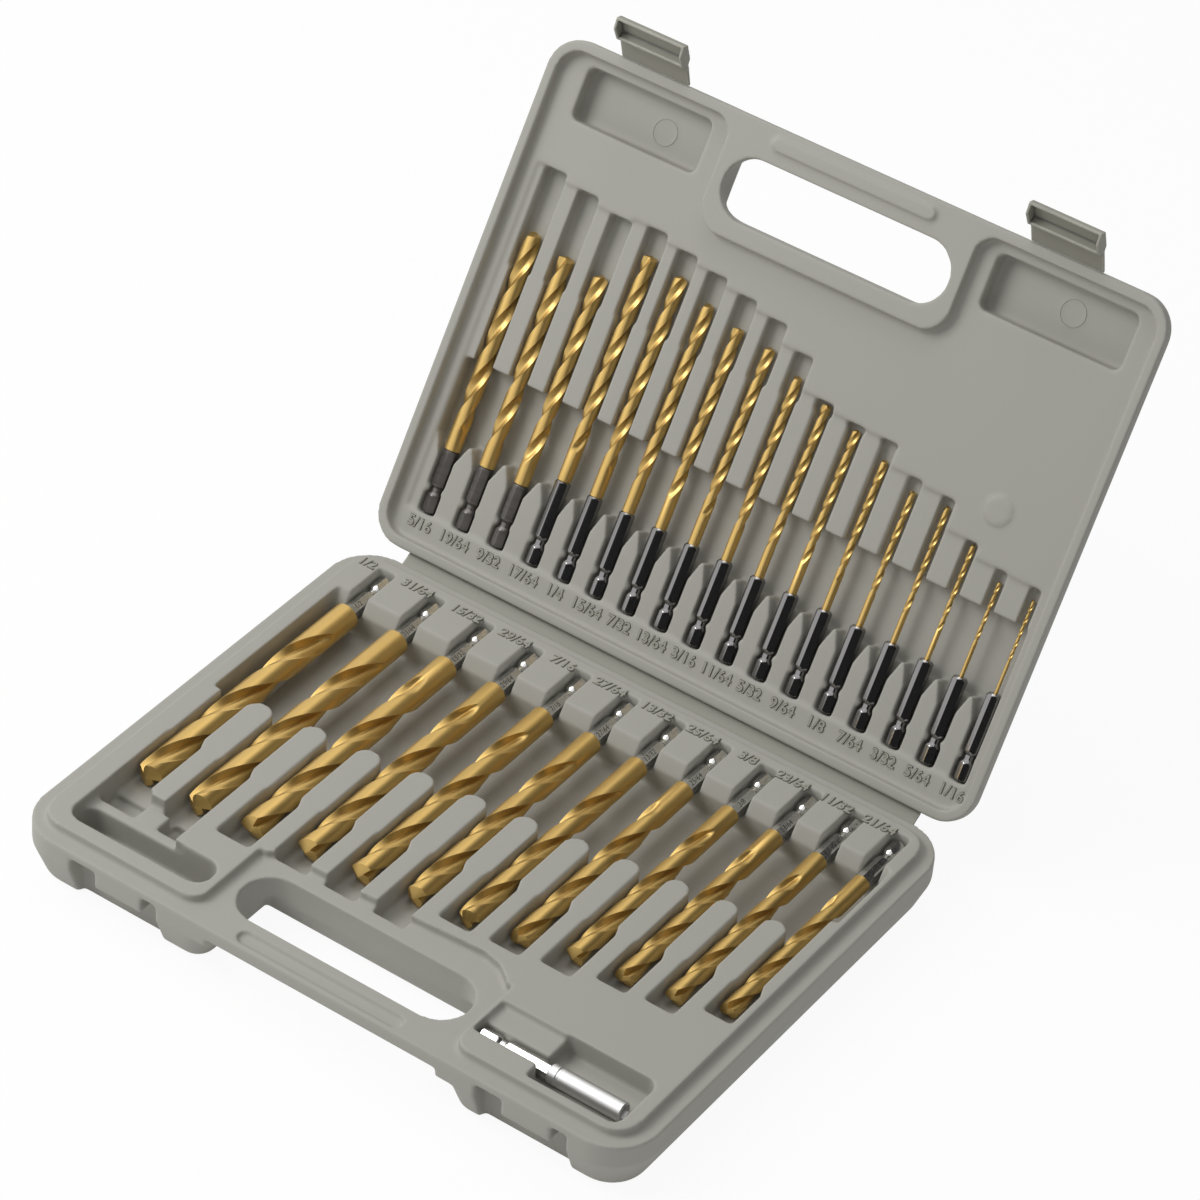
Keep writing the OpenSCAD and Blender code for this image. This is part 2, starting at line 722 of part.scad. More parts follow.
// Body of a drill, from zero along +X, with a cone at its point
module fluted(len, d, plain, lead) {
    cone = d * 0.32;
    run = len - plain;
    rotate([0, 90, 0]) cylinder(h = plain, r = d / 2);
    intersection() {
        translate([plain - 0.5, 0, 0]) rotate([0, 90, 0])
            linear_extrude(run + 0.5, twist = -360 * run / lead, slices = ceil(run / lead * 10), $fn = 8)
                flute2d(d);
        translate([0, 0, 0]) rotate([0, 90, 0]) {
            cylinder(h = len - cone, r = d);
            translate([0, 0, len - cone]) cylinder(h = cone, r1 = d / 2, r2 = 0.02);
        }
    }
}

module big_drill(i) {
    color([0.78, 0.61, 0.30])
        translate([big_x(i), big_end_y, big_z])
            rotate([0, 0, -90]) {
                shank(big_hex_len + 1, 0);
                translate([big_hex_len, 0, 0])
                    fluted(big_len[i] - big_hex_len, big_d(i), big_plain, big_d(i) * 7);
            }
}

module small_place(i) {
    on_lid()
        translate([small_x(i), small_v0, small_n0])
            rotate([0, 0, 90])
                children();
}

module small_drill(i) {
    color([0.78, 0.61, 0.30])
        small_place(i)
            translate([small_hex(i), 0, 0])
                fluted(small_len[i] - small_hex(i), small_d(i), small_hex(i) > 35 ? 14 : 10,
                       small_d(i) * 5.5);
}

module small_shank(i) {
    color([0.35, 0.34, 0.34])
        small_place(i) shank(small_hex(i), 0);
}

// ---------- bit holder ----------

module on_holder() {
    translate([holder_x0, holder_y, holder_z]) children();
}

module holder_shank() {
    color([0.7, 0.7, 0.7])
        on_holder() shank(holder_hex, 0);
}

module holder_sleeve() {
    color([0.78, 0.78, 0.77])
        on_holder()
            translate([holder_hex, 0, 0]) rotate([0, 90, 0])
                difference() {
                    cylinder(h = sleeve_len, r = sleeve_d / 2);
                    translate([0, 0, sleeve_len - socket_len])
                        cylinder(h = socket_len + 1, r = hex_r + 0.1, $fn = 6);
                    translate([0, 0, sleeve_len - socket_len - 2])
                        cylinder(h = 3, r = 2.6);
                }
}

module holder_magnet() {
    color([0.5, 0.5, 0.52])
        on_holder()
            translate([holder_hex + sleeve_len - socket_len - 2, 0, 0]) rotate([0, 90, 0])
                cylinder(h = 1.8, r = 2.6);
}

// ---------- assembly ----------
base_shell();
lid_shell();
hinge_strip();
left_latch();
right_latch();
big_drill(0);  // drill_32_64
big_drill(1);  // drill_31_64
big_drill(2);  // drill_30_64
big_drill(3);  // drill_29_64
big_drill(4);  // drill_28_64
big_drill(5);  // drill_27_64
big_drill(6);  // drill_26_64
big_drill(7);  // drill_25_64
big_drill(8);  // drill_24_64
big_drill(9);  // drill_23_64
big_drill(10);  // drill_22_64
big_drill(11);  // drill_21_64
small_drill(0);  // drill_20_64
small_shank(0);  // shank_20_64
small_drill(1);  // drill_19_64
small_shank(1);  // shank_19_64
small_drill(2);  // drill_18_64
small_shank(2);  // shank_18_64
small_drill(3);  // drill_17_64
small_shank(3);  // shank_17_64
small_drill(4);  // drill_16_64
small_shank(4);  // shank_16_64
small_drill(5);  // drill_15_64
small_shank(5);  // shank_15_64
small_drill(6);  // drill_14_64
small_shank(6);  // shank_14_64
small_drill(7);  // drill_13_64
small_shank(7);  // shank_13_64
small_drill(8);  // drill_12_64
small_shank(8);  // shank_12_64
small_drill(9);  // drill_11_64
small_shank(9);  // shank_11_64
small_drill(10);  // drill_10_64
small_shank(10);  // shank_10_64
small_drill(11);  // drill_09_64
small_shank(11);  // shank_09_64
small_drill(12);  // drill_08_64
small_shank(12);  // shank_08_64
small_drill(13);  // drill_07_64
small_shank(13);  // shank_07_64
small_drill(14);  // drill_06_64
small_shank(14);  // shank_06_64
small_drill(15);  // drill_05_64
small_shank(15);  // shank_05_64
small_drill(16);  // drill_04_64
small_shank(16);  // shank_04_64
holder_shank();
holder_sleeve();
holder_magnet();
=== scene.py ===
import math

import bmesh
import bpy
import numpy as np
from bpy.props import FloatProperty, FloatVectorProperty, IntProperty, PointerProperty
from mathutils import Matrix, Vector


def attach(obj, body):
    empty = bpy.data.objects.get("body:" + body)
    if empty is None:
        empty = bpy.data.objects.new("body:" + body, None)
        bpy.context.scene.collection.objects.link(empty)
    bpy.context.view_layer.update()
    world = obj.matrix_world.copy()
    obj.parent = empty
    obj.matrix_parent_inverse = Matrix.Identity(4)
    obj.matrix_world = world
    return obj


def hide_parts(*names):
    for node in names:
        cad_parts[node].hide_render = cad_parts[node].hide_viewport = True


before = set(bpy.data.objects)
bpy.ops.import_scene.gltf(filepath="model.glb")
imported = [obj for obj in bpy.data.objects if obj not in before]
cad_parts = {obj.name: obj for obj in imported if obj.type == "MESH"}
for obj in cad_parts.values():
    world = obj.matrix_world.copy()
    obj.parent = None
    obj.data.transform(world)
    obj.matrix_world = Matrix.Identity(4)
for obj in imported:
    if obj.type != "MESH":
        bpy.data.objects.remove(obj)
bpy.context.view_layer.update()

bl_info = {
    "name": "Drill bit case",
    "version": (1, 0, 0),
    "blender": (4, 5, 0),
    "location": "3D View > Sidebar > Drill case",
    "description": "Builds the moulded case, its drills and bit holder, and the studio round them",
    "category": "Object",
}

MM = 0.001
IN64 = 0.0254 / 64

# The two shells, in metres, with the lid's place as photographed
CASE_W = 0.319
CASE_D = 0.244
PARTING_Z = 0.028
TRAY_Z = 0.032
OPEN_TILT = math.radians(58.7)
LID_ORIGIN = Vector((0, 0.126740, 0.030665))

# Heights above the parting face from which the depth of the recesses is counted
BASE_FACE = 0.004
LID_FACE = -0.0035

# Depth at which a recess starts to darken with painted shade, and how much deeper it is darkest
RECESS_START = 0.0035
RECESS_DEPTH = 0.0105

# Width of the band along the rim that counts as outer wall, and where its stipple starts below the rim
WALL_BAND = 0.0125
STIPPLE_START = 0.0045

# Half the curvature, per millimetre, from which an edge or a corner counts as fully sharp, with its full
# rubbed and painted highlight, or its full painted shade
SHARP_BEND = 0.30

# Smallest detail in metres, rounds of smoothing and most triangles of the softened small mouldings
HINGE_SOFT = (0.0005, 3, 60000)
LATCH_SOFT = (0.00035, 5, 60000)

# Large drills: end of the shanks and height of the axes, in metres
LARGE_END_Y = 0.1084
LARGE_AXIS_Z = 0.0258

# Large drills: hex shank, plain part and whole length in millimetres, largest size in sixty-fourths
LARGE_HEX = 29.8
LARGE_PLAIN = 16.5
LARGE_CHAMFER = 0.5
LARGE_LENGTHS = (171.5, 172.6, 169.8, 165.8, 163.4, 159.5, 156.4, 152.4, 146.4, 143.9, 140.1, 132.4)
LARGE_FIRST = 32

# How far each large drill is turned in its groove, in degrees
LARGE_TURNS = (33, 20, 100, 75, 60, 38, 8, 120, 66, 100, 84, 130)

# Length of a drill's point as a share of its radius, and of the flutes' run-out in diameters
POINT_SHARE = 0.62
RUN_OUT = 1.3

# Where across a flute, in degrees, its shaded side starts, and over how many it grows dark
SHADE_START = 118
SHADE_SPAN = 30

# Small drills, along the lid, in millimetres; the first three have short shanks
SMALL_START = 18.7
SMALL_SINK = 9.2
SMALL_FIRST = 20
SMALL_LENGTHS = (137, 133.1, 132.3, 149.4, 147.2, 141.2, 137, 135.3, 128.9, 123.1, 118.8, 112,
                 105, 105.6, 95.4, 85.8, 85.1)
SHORT_COUNT = 3
SHORT_HEX = 30.9
LONG_HEX = 41.0
SHORT_PLAIN = 10
LONG_PLAIN = 14
SMALL_CHAMFER = 0.05

# Rings to a turn of a small flute, their least distance in metres, and degrees from drill to drill
SMALL_STEPS = 30
SMALL_STEP_MIN = 0.00045
SMALL_TURN = 47.0

# Hex shanks, in millimetres: width over the flats, the clipped corners' radius as a share of half
# of it, the locking ring's place and size, a radius that no shank has, and the size mark
HEX_FLATS = 6.35
CORNER_SHARE = 1.145
RING_AT = 11.0
RING_HALF = 3.0
RING_RADIUS = 2.35
NO_LIMIT = 9.0
MARK_HEIGHT = 2.5
MARK_FROM_END = 7.5

# Bit holder, in millimetres
HOLDER_X = 69.5
HOLDER_Y = -97.6
HOLDER_Z = 25.9
HOLDER_HEX = 34.8
SLEEVE_LENGTH = 36.5
SLEEVE_RADIUS = 4.4
SOCKET_DEPTH = 12.0
SOCKET_PLAY = 0.2

# Height of a capital letter as a share of the font's size
CAPITAL_SHARE = 0.70

# Size numbers, in metres: to the left of a drill's axis, and their row on the base and on the lid
NUMBER_ASIDE = 0.0105
BASE_ROW_Y = 0.1075
LID_ROW = 0.0130
LID_ROW_Z = -0.0052

# What is written for each size in sixty-fourths of an inch
SIZE_MARKS = {32: "1/2", 31: "31/64", 30: "15/32", 29: "29/64", 28: "7/16", 27: "27/64", 26: "13/32",
              25: "25/64", 24: "3/8", 23: "23/64", 22: "11/32", 21: "21/64", 20: "5/16", 19: "19/64",
              18: "9/32", 17: "17/64", 16: "1/4", 15: "15/64", 14: "7/32", 13: "13/64", 12: "3/16",
              11: "11/64", 10: "5/32", 9: "9/64", 8: "1/8", 7: "7/64", 6: "3/32", 5: "5/64", 4: "1/16"}

# Round marks of the mould in millimetres: place along the lid, across it and out of it, and radius
RING_MARKS = ((-99.1, 219.7, -13.85, 6.0), (111.6, 221.8, -13.85, 6.0), (117.3, 132.6, -5.1, 6.9))
RING_WIRE = 0.22

# One land and one flute of a drill in section, by angle in degrees and share of the radius
LARGE_SECTION = ((0, 1.0), (2, 1.0), (14, 1.0), (28, 1.0), (42, 1.0), (56, 1.0), (70, 1.0),
                 (82, 1.0), (88, 1.0), (90, 0.965), (94, 0.925), (99, 0.895), (105, 0.865),
                 (112, 0.83), (119, 0.785), (126, 0.73), (133, 0.665), (140, 0.595), (147, 0.52),
                 (153, 0.455), (159, 0.405), (165, 0.385), (170, 0.41), (174, 0.49), (176.5, 0.61),
                 (178.3, 0.77), (179.4, 0.92))
SMALL_SECTION = ((0, 1.0), (3, 1.0), (20, 1.0), (38, 1.0), (56, 1.0), (74, 1.0), (88, 1.0),
                 (92, 0.90), (97, 0.79), (104, 0.67), (112, 0.57), (121, 0.50), (131, 0.46),
                 (141, 0.45), (151, 0.47), (159, 0.53), (166, 0.63), (172, 0.76), (176.5, 0.89))

# Camera fitted to the photograph: place in metres, and where it looks and what is right of it
CAMERA_PLACE = (0.89967, -1.36523, 1.50522)
CAMERA_FORWARD = (-0.4093, 0.6550, -0.6352)
CAMERA_RIGHT = (0.8146, 0.5759, 0.0690)
CAMERA_LENS = 155.46

# Area lights: name, place, width in metres and watts; all look at the middle of the case
LIGHTS = (("key_light", (-0.95, -0.55, 1.25), 0.9, 15.0),
          ("top_light", (-0.2, 0.5, 1.7), 0.8, 4.5))
LIT_PLACE = (0, 0.06, 0.1)

# Dark cards that only the metal reflects: name, place, half width, half height and turn in degrees
CARDS = (("right_card", (0.95, -0.5, 0.82), 1.3, 0.8, 90),
         ("back_card", (0.85, 1.35, 1.32), 0.85, 1.3, 135))

# Share of plain white in the floor as the camera sees it, and strength of the surroundings' light
FLOOR_WHITE = 0.93
ROOM_LIGHT = 0.36

lid_place = Matrix.Translation(LID_ORIGIN) @ Matrix.Rotation(OPEN_TILT, 4, "X")


def large_x(i):
    """Place of a large drill along the base in millimetres: thinner drills lie closer together"""
    return -CASE_W / 2 / MM + 25.2 + 27.9 * i - 0.292 * i * (i - 1)


def small_x(i):
    """Place of a small drill along the lid in millimetres: the first three lie further apart"""
    steps = i * 19.2 if i < SHORT_COUNT else 57.6 + (i - SHORT_COUNT) * 17.5
    return -CASE_W / 2 / MM + 20.6 + steps


def small_hex(i):
    """Length of a small drill's shank in millimetres"""
    return SHORT_HEX if i < SHORT_COUNT else LONG_HEX


# ---------- settings ----------

class CaseSizes(bpy.types.PropertyGroup):
    """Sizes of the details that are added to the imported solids"""
    voxel: FloatProperty(name="Moulding detail",
                         description="Smallest detail that the moulded shells keep",
                         default=0.0008, min=0.0005, max=0.003, unit="LENGTH")
    softness: IntProperty(name="Edge softness", description="How often the shells' edges are smoothed",
                          default=8, min=0, max=30)
    triangles: IntProperty(name="Shell triangles", description="Most triangles of one shell",
                           default=188000, min=20000, max=198000)
    number_height: FloatProperty(name="Number height",
                                 description="Height of the moulded size numbers",
                                 default=0.0050, min=0.002, max=0.008, unit="LENGTH")
    number_rise: FloatProperty(name="Number rise",
                               description="How far the numbers stand out of the plastic",
                               default=0.0006, min=0.0001, max=0.001, unit="LENGTH")
    flute_step: FloatProperty(name="Flute step",
                              description="Distance between two sections of a large drill",
                              default=0.00125, min=0.0005, max=0.004, unit="LENGTH")
    large_lead: FloatProperty(name="Large lead", description="Length of a flute's turn, in diameters",
                              default=7.0, min=4.0, max=9.0)
    small_lead: FloatProperty(name="Small lead",
                              description="Length of a small flute's turn, in diameters",
                              default=7.0, min=4.0, max=9.0)


class CaseColours(bpy.types.PropertyGroup):
    """Colours of the plastic and the metals"""
    plastic: FloatVectorProperty(name="Plastic", description="Moulded shells",
                                 default=(0.305, 0.298, 0.252), subtype="COLOR", min=0, max=1)
    # Lighter colour that the edges are mixed towards: partly rubbing wear, partly a painted highlight
    plastic_worn_and_sheen: FloatVectorProperty(name="Worn plastic", description="Rubbed edges of the shells",
                                      default=(0.50, 0.49, 0.43), subtype="COLOR", min=0, max=1)
    gold: FloatVectorProperty(name="Coating", description="Lands of the coated drills",
                              default=(0.66, 0.43, 0.15), subtype="COLOR", min=0, max=1)
    # Painted shade: the brown that the flutes darken to on their shaded side
    gold_shade: FloatVectorProperty(name="Deep coating", description="Flutes of the coated drills",
                                   default=(0.075, 0.030, 0.007), subtype="COLOR", min=0, max=1)
    dark_steel: FloatVectorProperty(name="Dark steel", description="Shanks of the small drills",
                                    default=(0.30, 0.28, 0.265), subtype="COLOR", min=0, max=1)
    bright_steel: FloatVectorProperty(name="Bright steel", description="Shanks of the large drills",
                                      default=(0.68, 0.68, 0.66), subtype="COLOR", min=0, max=1)
    floor: FloatVectorProperty(name="Floor", description="Studio floor",
                               default=(0.97, 0.97, 0.97), subtype="COLOR", min=0, max=1)


# ---------- node helpers ----------

class Graph:
    """Adds nodes to one shader tree"""

    def __init__(self, tree):
        self.tree = tree

    def add(self, kind, **settings):
        node = self.tree.nodes.new(kind)
        for name, value in settings.items():
            setattr(node, name, value)
        return node

    def put(self, value, socket):
        if isinstance(value, bpy.types.NodeSocket):
            self.tree.links.new(value, socket)
        else:
            socket.default_value = value

    def math(self, operation, a, b=0.0, clamp=False):
        node = self.add("ShaderNodeMath", operation=operation, use_clamp=clamp)
        self.put(a, node.inputs[0])
        self.put(b, node.inputs[1])
        return node.outputs[0]

    def mix(self, factor, a, b, blend="MIX"):
        node = self.add("ShaderNodeMix", data_type="RGBA", blend_type=blend)
        self.put(factor, node.inputs[0])
        self.put(a, node.inputs[6])
        self.put(b, node.inputs[7])
        return node.outputs[2]

    def scaled(self, vector, scale):
        node = self.add("ShaderNodeMapping")
        self.put(vector, node.inputs["Vector"])
        node.inputs["Scale"].default_value = scale
        return node.outputs[0]

    def noise(self, vector, scale, detail=3.0, rough=0.5):
        node = self.add("ShaderNodeTexNoise")
        self.put(vector, node.inputs["Vector"])
        node.inputs["Scale"].default_value = scale
        node.inputs["Detail"].default_value = detail
        node.inputs["Roughness"].default_value = rough
        return node.outputs["Fac"]

    def attribute(self, name, output="Fac"):
        return self.add("ShaderNodeAttribute", attribute_name=name).outputs[output]

    def span(self, value, low, high, to_low=0.0, to_high=1.0):
        node = self.add("ShaderNodeMapRange", clamp=True)
        self.put(value, node.inputs["Value"])
        numbers = {"From Min": low, "From Max": high, "To Min": to_low, "To Max": to_high}
        for name, number in numbers.items():
            node.inputs[name].default_value = number
        return node.outputs[0]


def new_material(name):
    """An empty material with one Principled shader"""
    material = bpy.data.materials.new(name)
    material.use_nodes = True
    graph = Graph(material.node_tree)
    shader = material.node_tree.nodes["Principled BSDF"]
    return material, graph, shader


def linear(colour):
    """A colour with full alpha"""
    return (*colour, 1.0)


def shown_share(graph):
    """1 for rays from the camera, a mirror or glass, and 0 for the rays that light the case"""
    light = graph.add("ShaderNodeLightPath")
    seen = graph.math("MAXIMUM", light.outputs["Is Camera Ray"], light.outputs["Is Glossy Ray"])
    return graph.math("MAXIMUM", seen, light.outputs["Is Transmission Ray"])


def mould_group():
    """Flow streaks, grain, stippled outer walls, painted shade in hollows and creases, and rubbed edges
    with a painted highlight, of moulded plastic
    """
    tree = bpy.data.node_groups.new("moulded_surface", "ShaderNodeTree")
    for name, kind in (("Colour", "NodeSocketColor"), ("Worn", "NodeSocketColor"),
                       ("Wear", "NodeSocketFloat")):
        tree.interface.new_socket(name=name, in_out="INPUT", socket_type=kind)
    for name, kind in (("Colour", "NodeSocketColor"), ("Roughness", "NodeSocketFloat"),
                       ("Height", "NodeSocketFloat")):
        tree.interface.new_socket(name=name, in_out="OUTPUT", socket_type=kind)
    graph = Graph(tree)
    inside = graph.add("NodeGroupInput")
    outside = graph.add("NodeGroupOutput")
    place = graph.add("ShaderNodeTexCoord").outputs["Object"]
    broad = graph.noise(place, 11.0, 4.0, 0.6)
    streaks = graph.noise(graph.scaled(place, (9.0, 70.0, 70.0)), 1.0, 3.0, 0.6)
    grain = graph.noise(place, 1500.0, 2.0, 0.6)
    stipple = graph.noise(place, 620.0, 2.0, 0.7)
    tone = graph.math("ADD", graph.math("MULTIPLY", broad, 0.16), graph.math("MULTIPLY", streaks, 0.12))
    tone = graph.math("ADD", tone, 0.86)
    outer = graph.attribute("outer")
    speckle = graph.math("MULTIPLY", graph.math("SUBTRACT", stipple, 0.5),
                         graph.math("MULTIPLY", outer, 0.45))
    tone = graph.math("ADD", tone, speckle)
    # Painted shade in the deep recesses, from the recess attribute
    tone = graph.math("MULTIPLY", tone, graph.span(graph.attribute("recess"), 0, 1, 1.0, 0.42))
    # Painted shade in inner corners and creases, from the cavity attribute
    tone = graph.math("MULTIPLY", tone, graph.span(graph.attribute("cavity"), 0.05, 0.9, 1.0, 0.42))
    toned = graph.mix(1.0, inside.outputs["Colour"], tone, "MULTIPLY")
    # Rubbed edges: convex edges, broken up by noise, are mixed towards the lighter colour; this is
    # partly wear and partly a painted highlight
    rub_and_sheen = graph.math("MULTIPLY", graph.span(graph.attribute("edge"), 0.12, 0.75),
                     graph.span(graph.noise(place, 90.0, 4.0, 0.7), 0.35, 0.65, 0.35, 1.0))
    rub_and_sheen = graph.math("MULTIPLY", rub_and_sheen, inside.outputs["Wear"])
    colour = graph.mix(rub_and_sheen, toned, inside.outputs["Worn"])
    graph.put(colour, outside.inputs["Colour"])
    graph.put(graph.span(broad, 0.3, 0.7, 0.44, 0.56), outside.inputs["Roughness"])
    fine = graph.math("MULTIPLY", grain, 0.25)
    coarse = graph.math("MULTIPLY", stipple, graph.math("MULTIPLY", outer, 1.1))
    graph.put(graph.math("ADD", fine, coarse), outside.inputs["Height"])
    return tree


def turned_group():
    """Fine rings and tone changes on ground metal, across the piece's own axis"""
    tree = bpy.data.node_groups.new("ground_rings", "ShaderNodeTree")
    tree.interface.new_socket(name="Fineness", in_out="INPUT", socket_type="NodeSocketFloat")
    for name in ("Tone", "Height"):
        tree.interface.new_socket(name=name, in_out="OUTPUT", socket_type="NodeSocketFloat")
    graph = Graph(tree)
    inside = graph.add("NodeGroupInput")
    outside = graph.add("NodeGroupOutput")
    own = graph.attribute("own", "Vector")
    rings = graph.add("ShaderNodeTexNoise")
    graph.put(graph.scaled(own, (0.12, 0.12, 1.0)), rings.inputs["Vector"])
    graph.put(inside.outputs["Fineness"], rings.inputs["Scale"])
    rings.inputs["Detail"].default_value = 4.0
    rings.inputs["Roughness"].default_value = 0.65
    cloud = graph.noise(own, 120.0, 2.0, 0.5)
    tone = graph.math("ADD", graph.span(rings.outputs["Fac"], 0.3, 0.7, 0.90, 1.04),
                      graph.span(cloud, 0.3, 0.7, -0.07, 0.05))
    graph.put(tone, outside.inputs["Tone"])
    graph.put(rings.outputs["Fac"], outside.inputs["Height"])
    return tree


def place_group(graph, tree, **values):
    """Adds a node group and sets its inputs"""
    node = graph.add("ShaderNodeGroup", node_tree=tree)
    for name, value in values.items():
        node.inputs[name].default_value = value
    return node


def add_bump(graph, shader, height, strength, distance):
    """Lets a height disturb the shader's normal"""
    bump = graph.add("ShaderNodeBump")
    bump.inputs["Strength"].default_value = strength
    bump.inputs["Distance"].default_value = distance
    graph.put(height, bump.inputs["Height"])
    graph.put(bump.outputs["Normal"], shader.inputs["Normal"])


def plastic_material(name, group, colour, worn_and_sheen, wear_and_sheen):
    """Matt moulded plastic; its last argument is how much the edges are rubbed and lightened with a
    painted highlight
    """
    material, graph, shader = new_material(name)
    node = place_group(graph, group, Colour=linear(colour), Worn=linear(worn_and_sheen), Wear=wear_and_sheen)
    graph.put(node.outputs["Colour"], shader.inputs["Base Color"])
    graph.put(node.outputs["Roughness"], shader.inputs["Roughness"])
    shader.inputs["Specular IOR Level"].default_value = 0.42
    add_bump(graph, shader, node.outputs["Height"], 0.35, 0.00022)
    return material


def coating_material(name, group, colours):
    """Titanium nitride coating: gold lands, and flutes that darken to brown on their shaded side"""
    material, graph, shader = new_material(name)
    rings = place_group(graph, group, Fineness=1400.0)
    # Painted shade: the flute attribute darkens the flutes towards the shade colour
    depth = graph.span(graph.attribute("flute"), 0.10, 0.44)
    gold = graph.mix(depth, linear(colours.gold), linear(colours.gold_shade))
    graph.put(graph.mix(1.0, gold, rings.outputs["Tone"], "MULTIPLY"), shader.inputs["Base Color"])
    shader.inputs["Metallic"].default_value = 0.86
    graph.put(graph.span(rings.outputs["Height"], 0.3, 0.7, 0.24, 0.36), shader.inputs["Roughness"])
    add_bump(graph, shader, rings.outputs["Height"], 0.25, 0.00004)
    return material


def steel_material(name, group, colour, rough, fineness):
    """Ground steel; fineness is the number of rings along the axis"""
    material, graph, shader = new_material(name)
    rings = place_group(graph, group, Fineness=fineness)
    toned = graph.mix(1.0, linear(colour), rings.outputs["Tone"], "MULTIPLY")
    graph.put(toned, shader.inputs["Base Color"])
    shader.inputs["Metallic"].default_value = 1.0
    roughness = graph.span(rings.outputs["Height"], 0.3, 0.7, rough * 0.8, rough * 1.3)
    graph.put(roughness, shader.inputs["Roughness"])
    add_bump(graph, shader, rings.outputs["Height"], 0.15, 0.00003)
    return material


def mark_material(name):
    """Dark etched marks on the hex shanks"""
    material, graph, shader = new_material(name)
    place = graph.add("ShaderNodeTexCoord").outputs["Object"]
    tone = graph.span(graph.noise(place, 900.0, 3.0, 0.6), 0.3, 0.7, 0.55, 1.2)
    graph.put(graph.mix(1.0, (0.05, 0.048, 0.045, 1), tone, "MULTIPLY"), shader.inputs["Base Color"])
    shader.inputs["Roughness"].default_value = 0.6
    return material


# ---------- mesh helpers ----------

def new_piece(name, mesh, materials, body, stands_for=()):
    """Links a finished mesh, gives it its materials and says what it moves with and replaces"""
    piece = bpy.data.objects.new(name, mesh)
    bpy.context.scene.collection.objects.link(piece)
    for material in materials:
        mesh.materials.append(bpy.data.materials[material])
    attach(piece, body)
    if stands_for:
        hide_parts(*stands_for)
    return piece


def mesh_from(bm, name, recalc=True):
    """Turns a bmesh into a mesh, with its faces turned outwards where asked"""
    if recalc:
        bmesh.ops.recalc_face_normals(bm, faces=bm.faces)
    mesh = bpy.data.meshes.new(name)
    bm.to_mesh(mesh)
    bm.free()
    return mesh


def own_coordinates(mesh):
    """Keeps each point's place before it is put into the case, for the patterns that follow the axis"""
    co = np.zeros(len(mesh.vertices) * 3, np.float32)
    mesh.vertices.foreach_get("co", co)
    mesh.attributes.new("own", "FLOAT_VECTOR", "POINT").data.foreach_set("vector", co)


def point_attribute(mesh, name, values):
    """Stores one number for each point, for the materials"""
    mesh.attributes.new(name, "FLOAT", "POINT").data.foreach_set("value", values)


def point_vectors(mesh, name):
    """The points' places ("co") or normals ("normal") as rows"""
    values = np.zeros(len(mesh.vertices) * 3)
    mesh.vertices.foreach_get(name, values)
    return values.reshape(-1, 3)


def shade(mesh, angle=32.0):
    """Smooth shading that keeps edges sharper than an angle in degrees"""
    mesh.shade_smooth()
    mesh.set_sharp_from_angle(angle=math.radians(angle))


def angle_of(vert):
    """Angle of a point about the local Z axis"""
    return math.atan2(vert.co.y, vert.co.x)


def start_ring(bm, angles, z, radius_at):
    """A ring about the local Z axis with a point at each angle, in degrees"""
    verts = bmesh.ops.create_circle(bm, cap_ends=False, radius=1, segments=len(angles))["verts"]
    for vert, degrees in zip(sorted(verts, key=angle_of), sorted(angles)):
        a = math.radians(degrees)
        r = radius_at(a, z)
        vert.co = (r * math.cos(a), r * math.sin(a), z)
    return list({edge for vert in verts for edge in vert.link_edges})


def next_ring(bm, edges, z, radius_at):
    """Extrudes a ring to a new height and radius"""
    made = bmesh.ops.extrude_edge_only(bm, edges=edges)["geom"]
    for vert in (item for item in made if isinstance(item, bmesh.types.BMVert)):
        a = angle_of(vert)
        r = radius_at(a, z)
        vert.co = (r * math.cos(a), r * math.sin(a), z)
    return [item for item in made if isinstance(item, bmesh.types.BMEdge) and ring_edge(item)]


def ring_edge(edge):
    """Whether an edge lies in a ring and isn't one that climbs to the next"""
    a, b = edge.verts
    return abs(a.co.z - b.co.z) < 1e-9 and abs(math.sin(angle_of(a) - angle_of(b))) > 1e-6


def close_ring(bm, edges, tip=None):
    """Closes a ring with a flat face, or with a fan up to a tip"""
    face = bmesh.ops.contextual_create(bm, geom=edges)["faces"][0]
    if tip is None:
        return
    for vert in bmesh.ops.poke(bm, faces=[face])["verts"]:
        vert.co = (0, 0, tip)


def hex_radius(flats):
    """Radius of a hexagon with clipped corners, as a function of the angle"""
    def at(a):
        off = (math.degrees(a) - 90) % 60 - 30
        return min(flats / 2 / math.cos(math.radians(off)), flats / 2 * CORNER_SHARE)
    return at


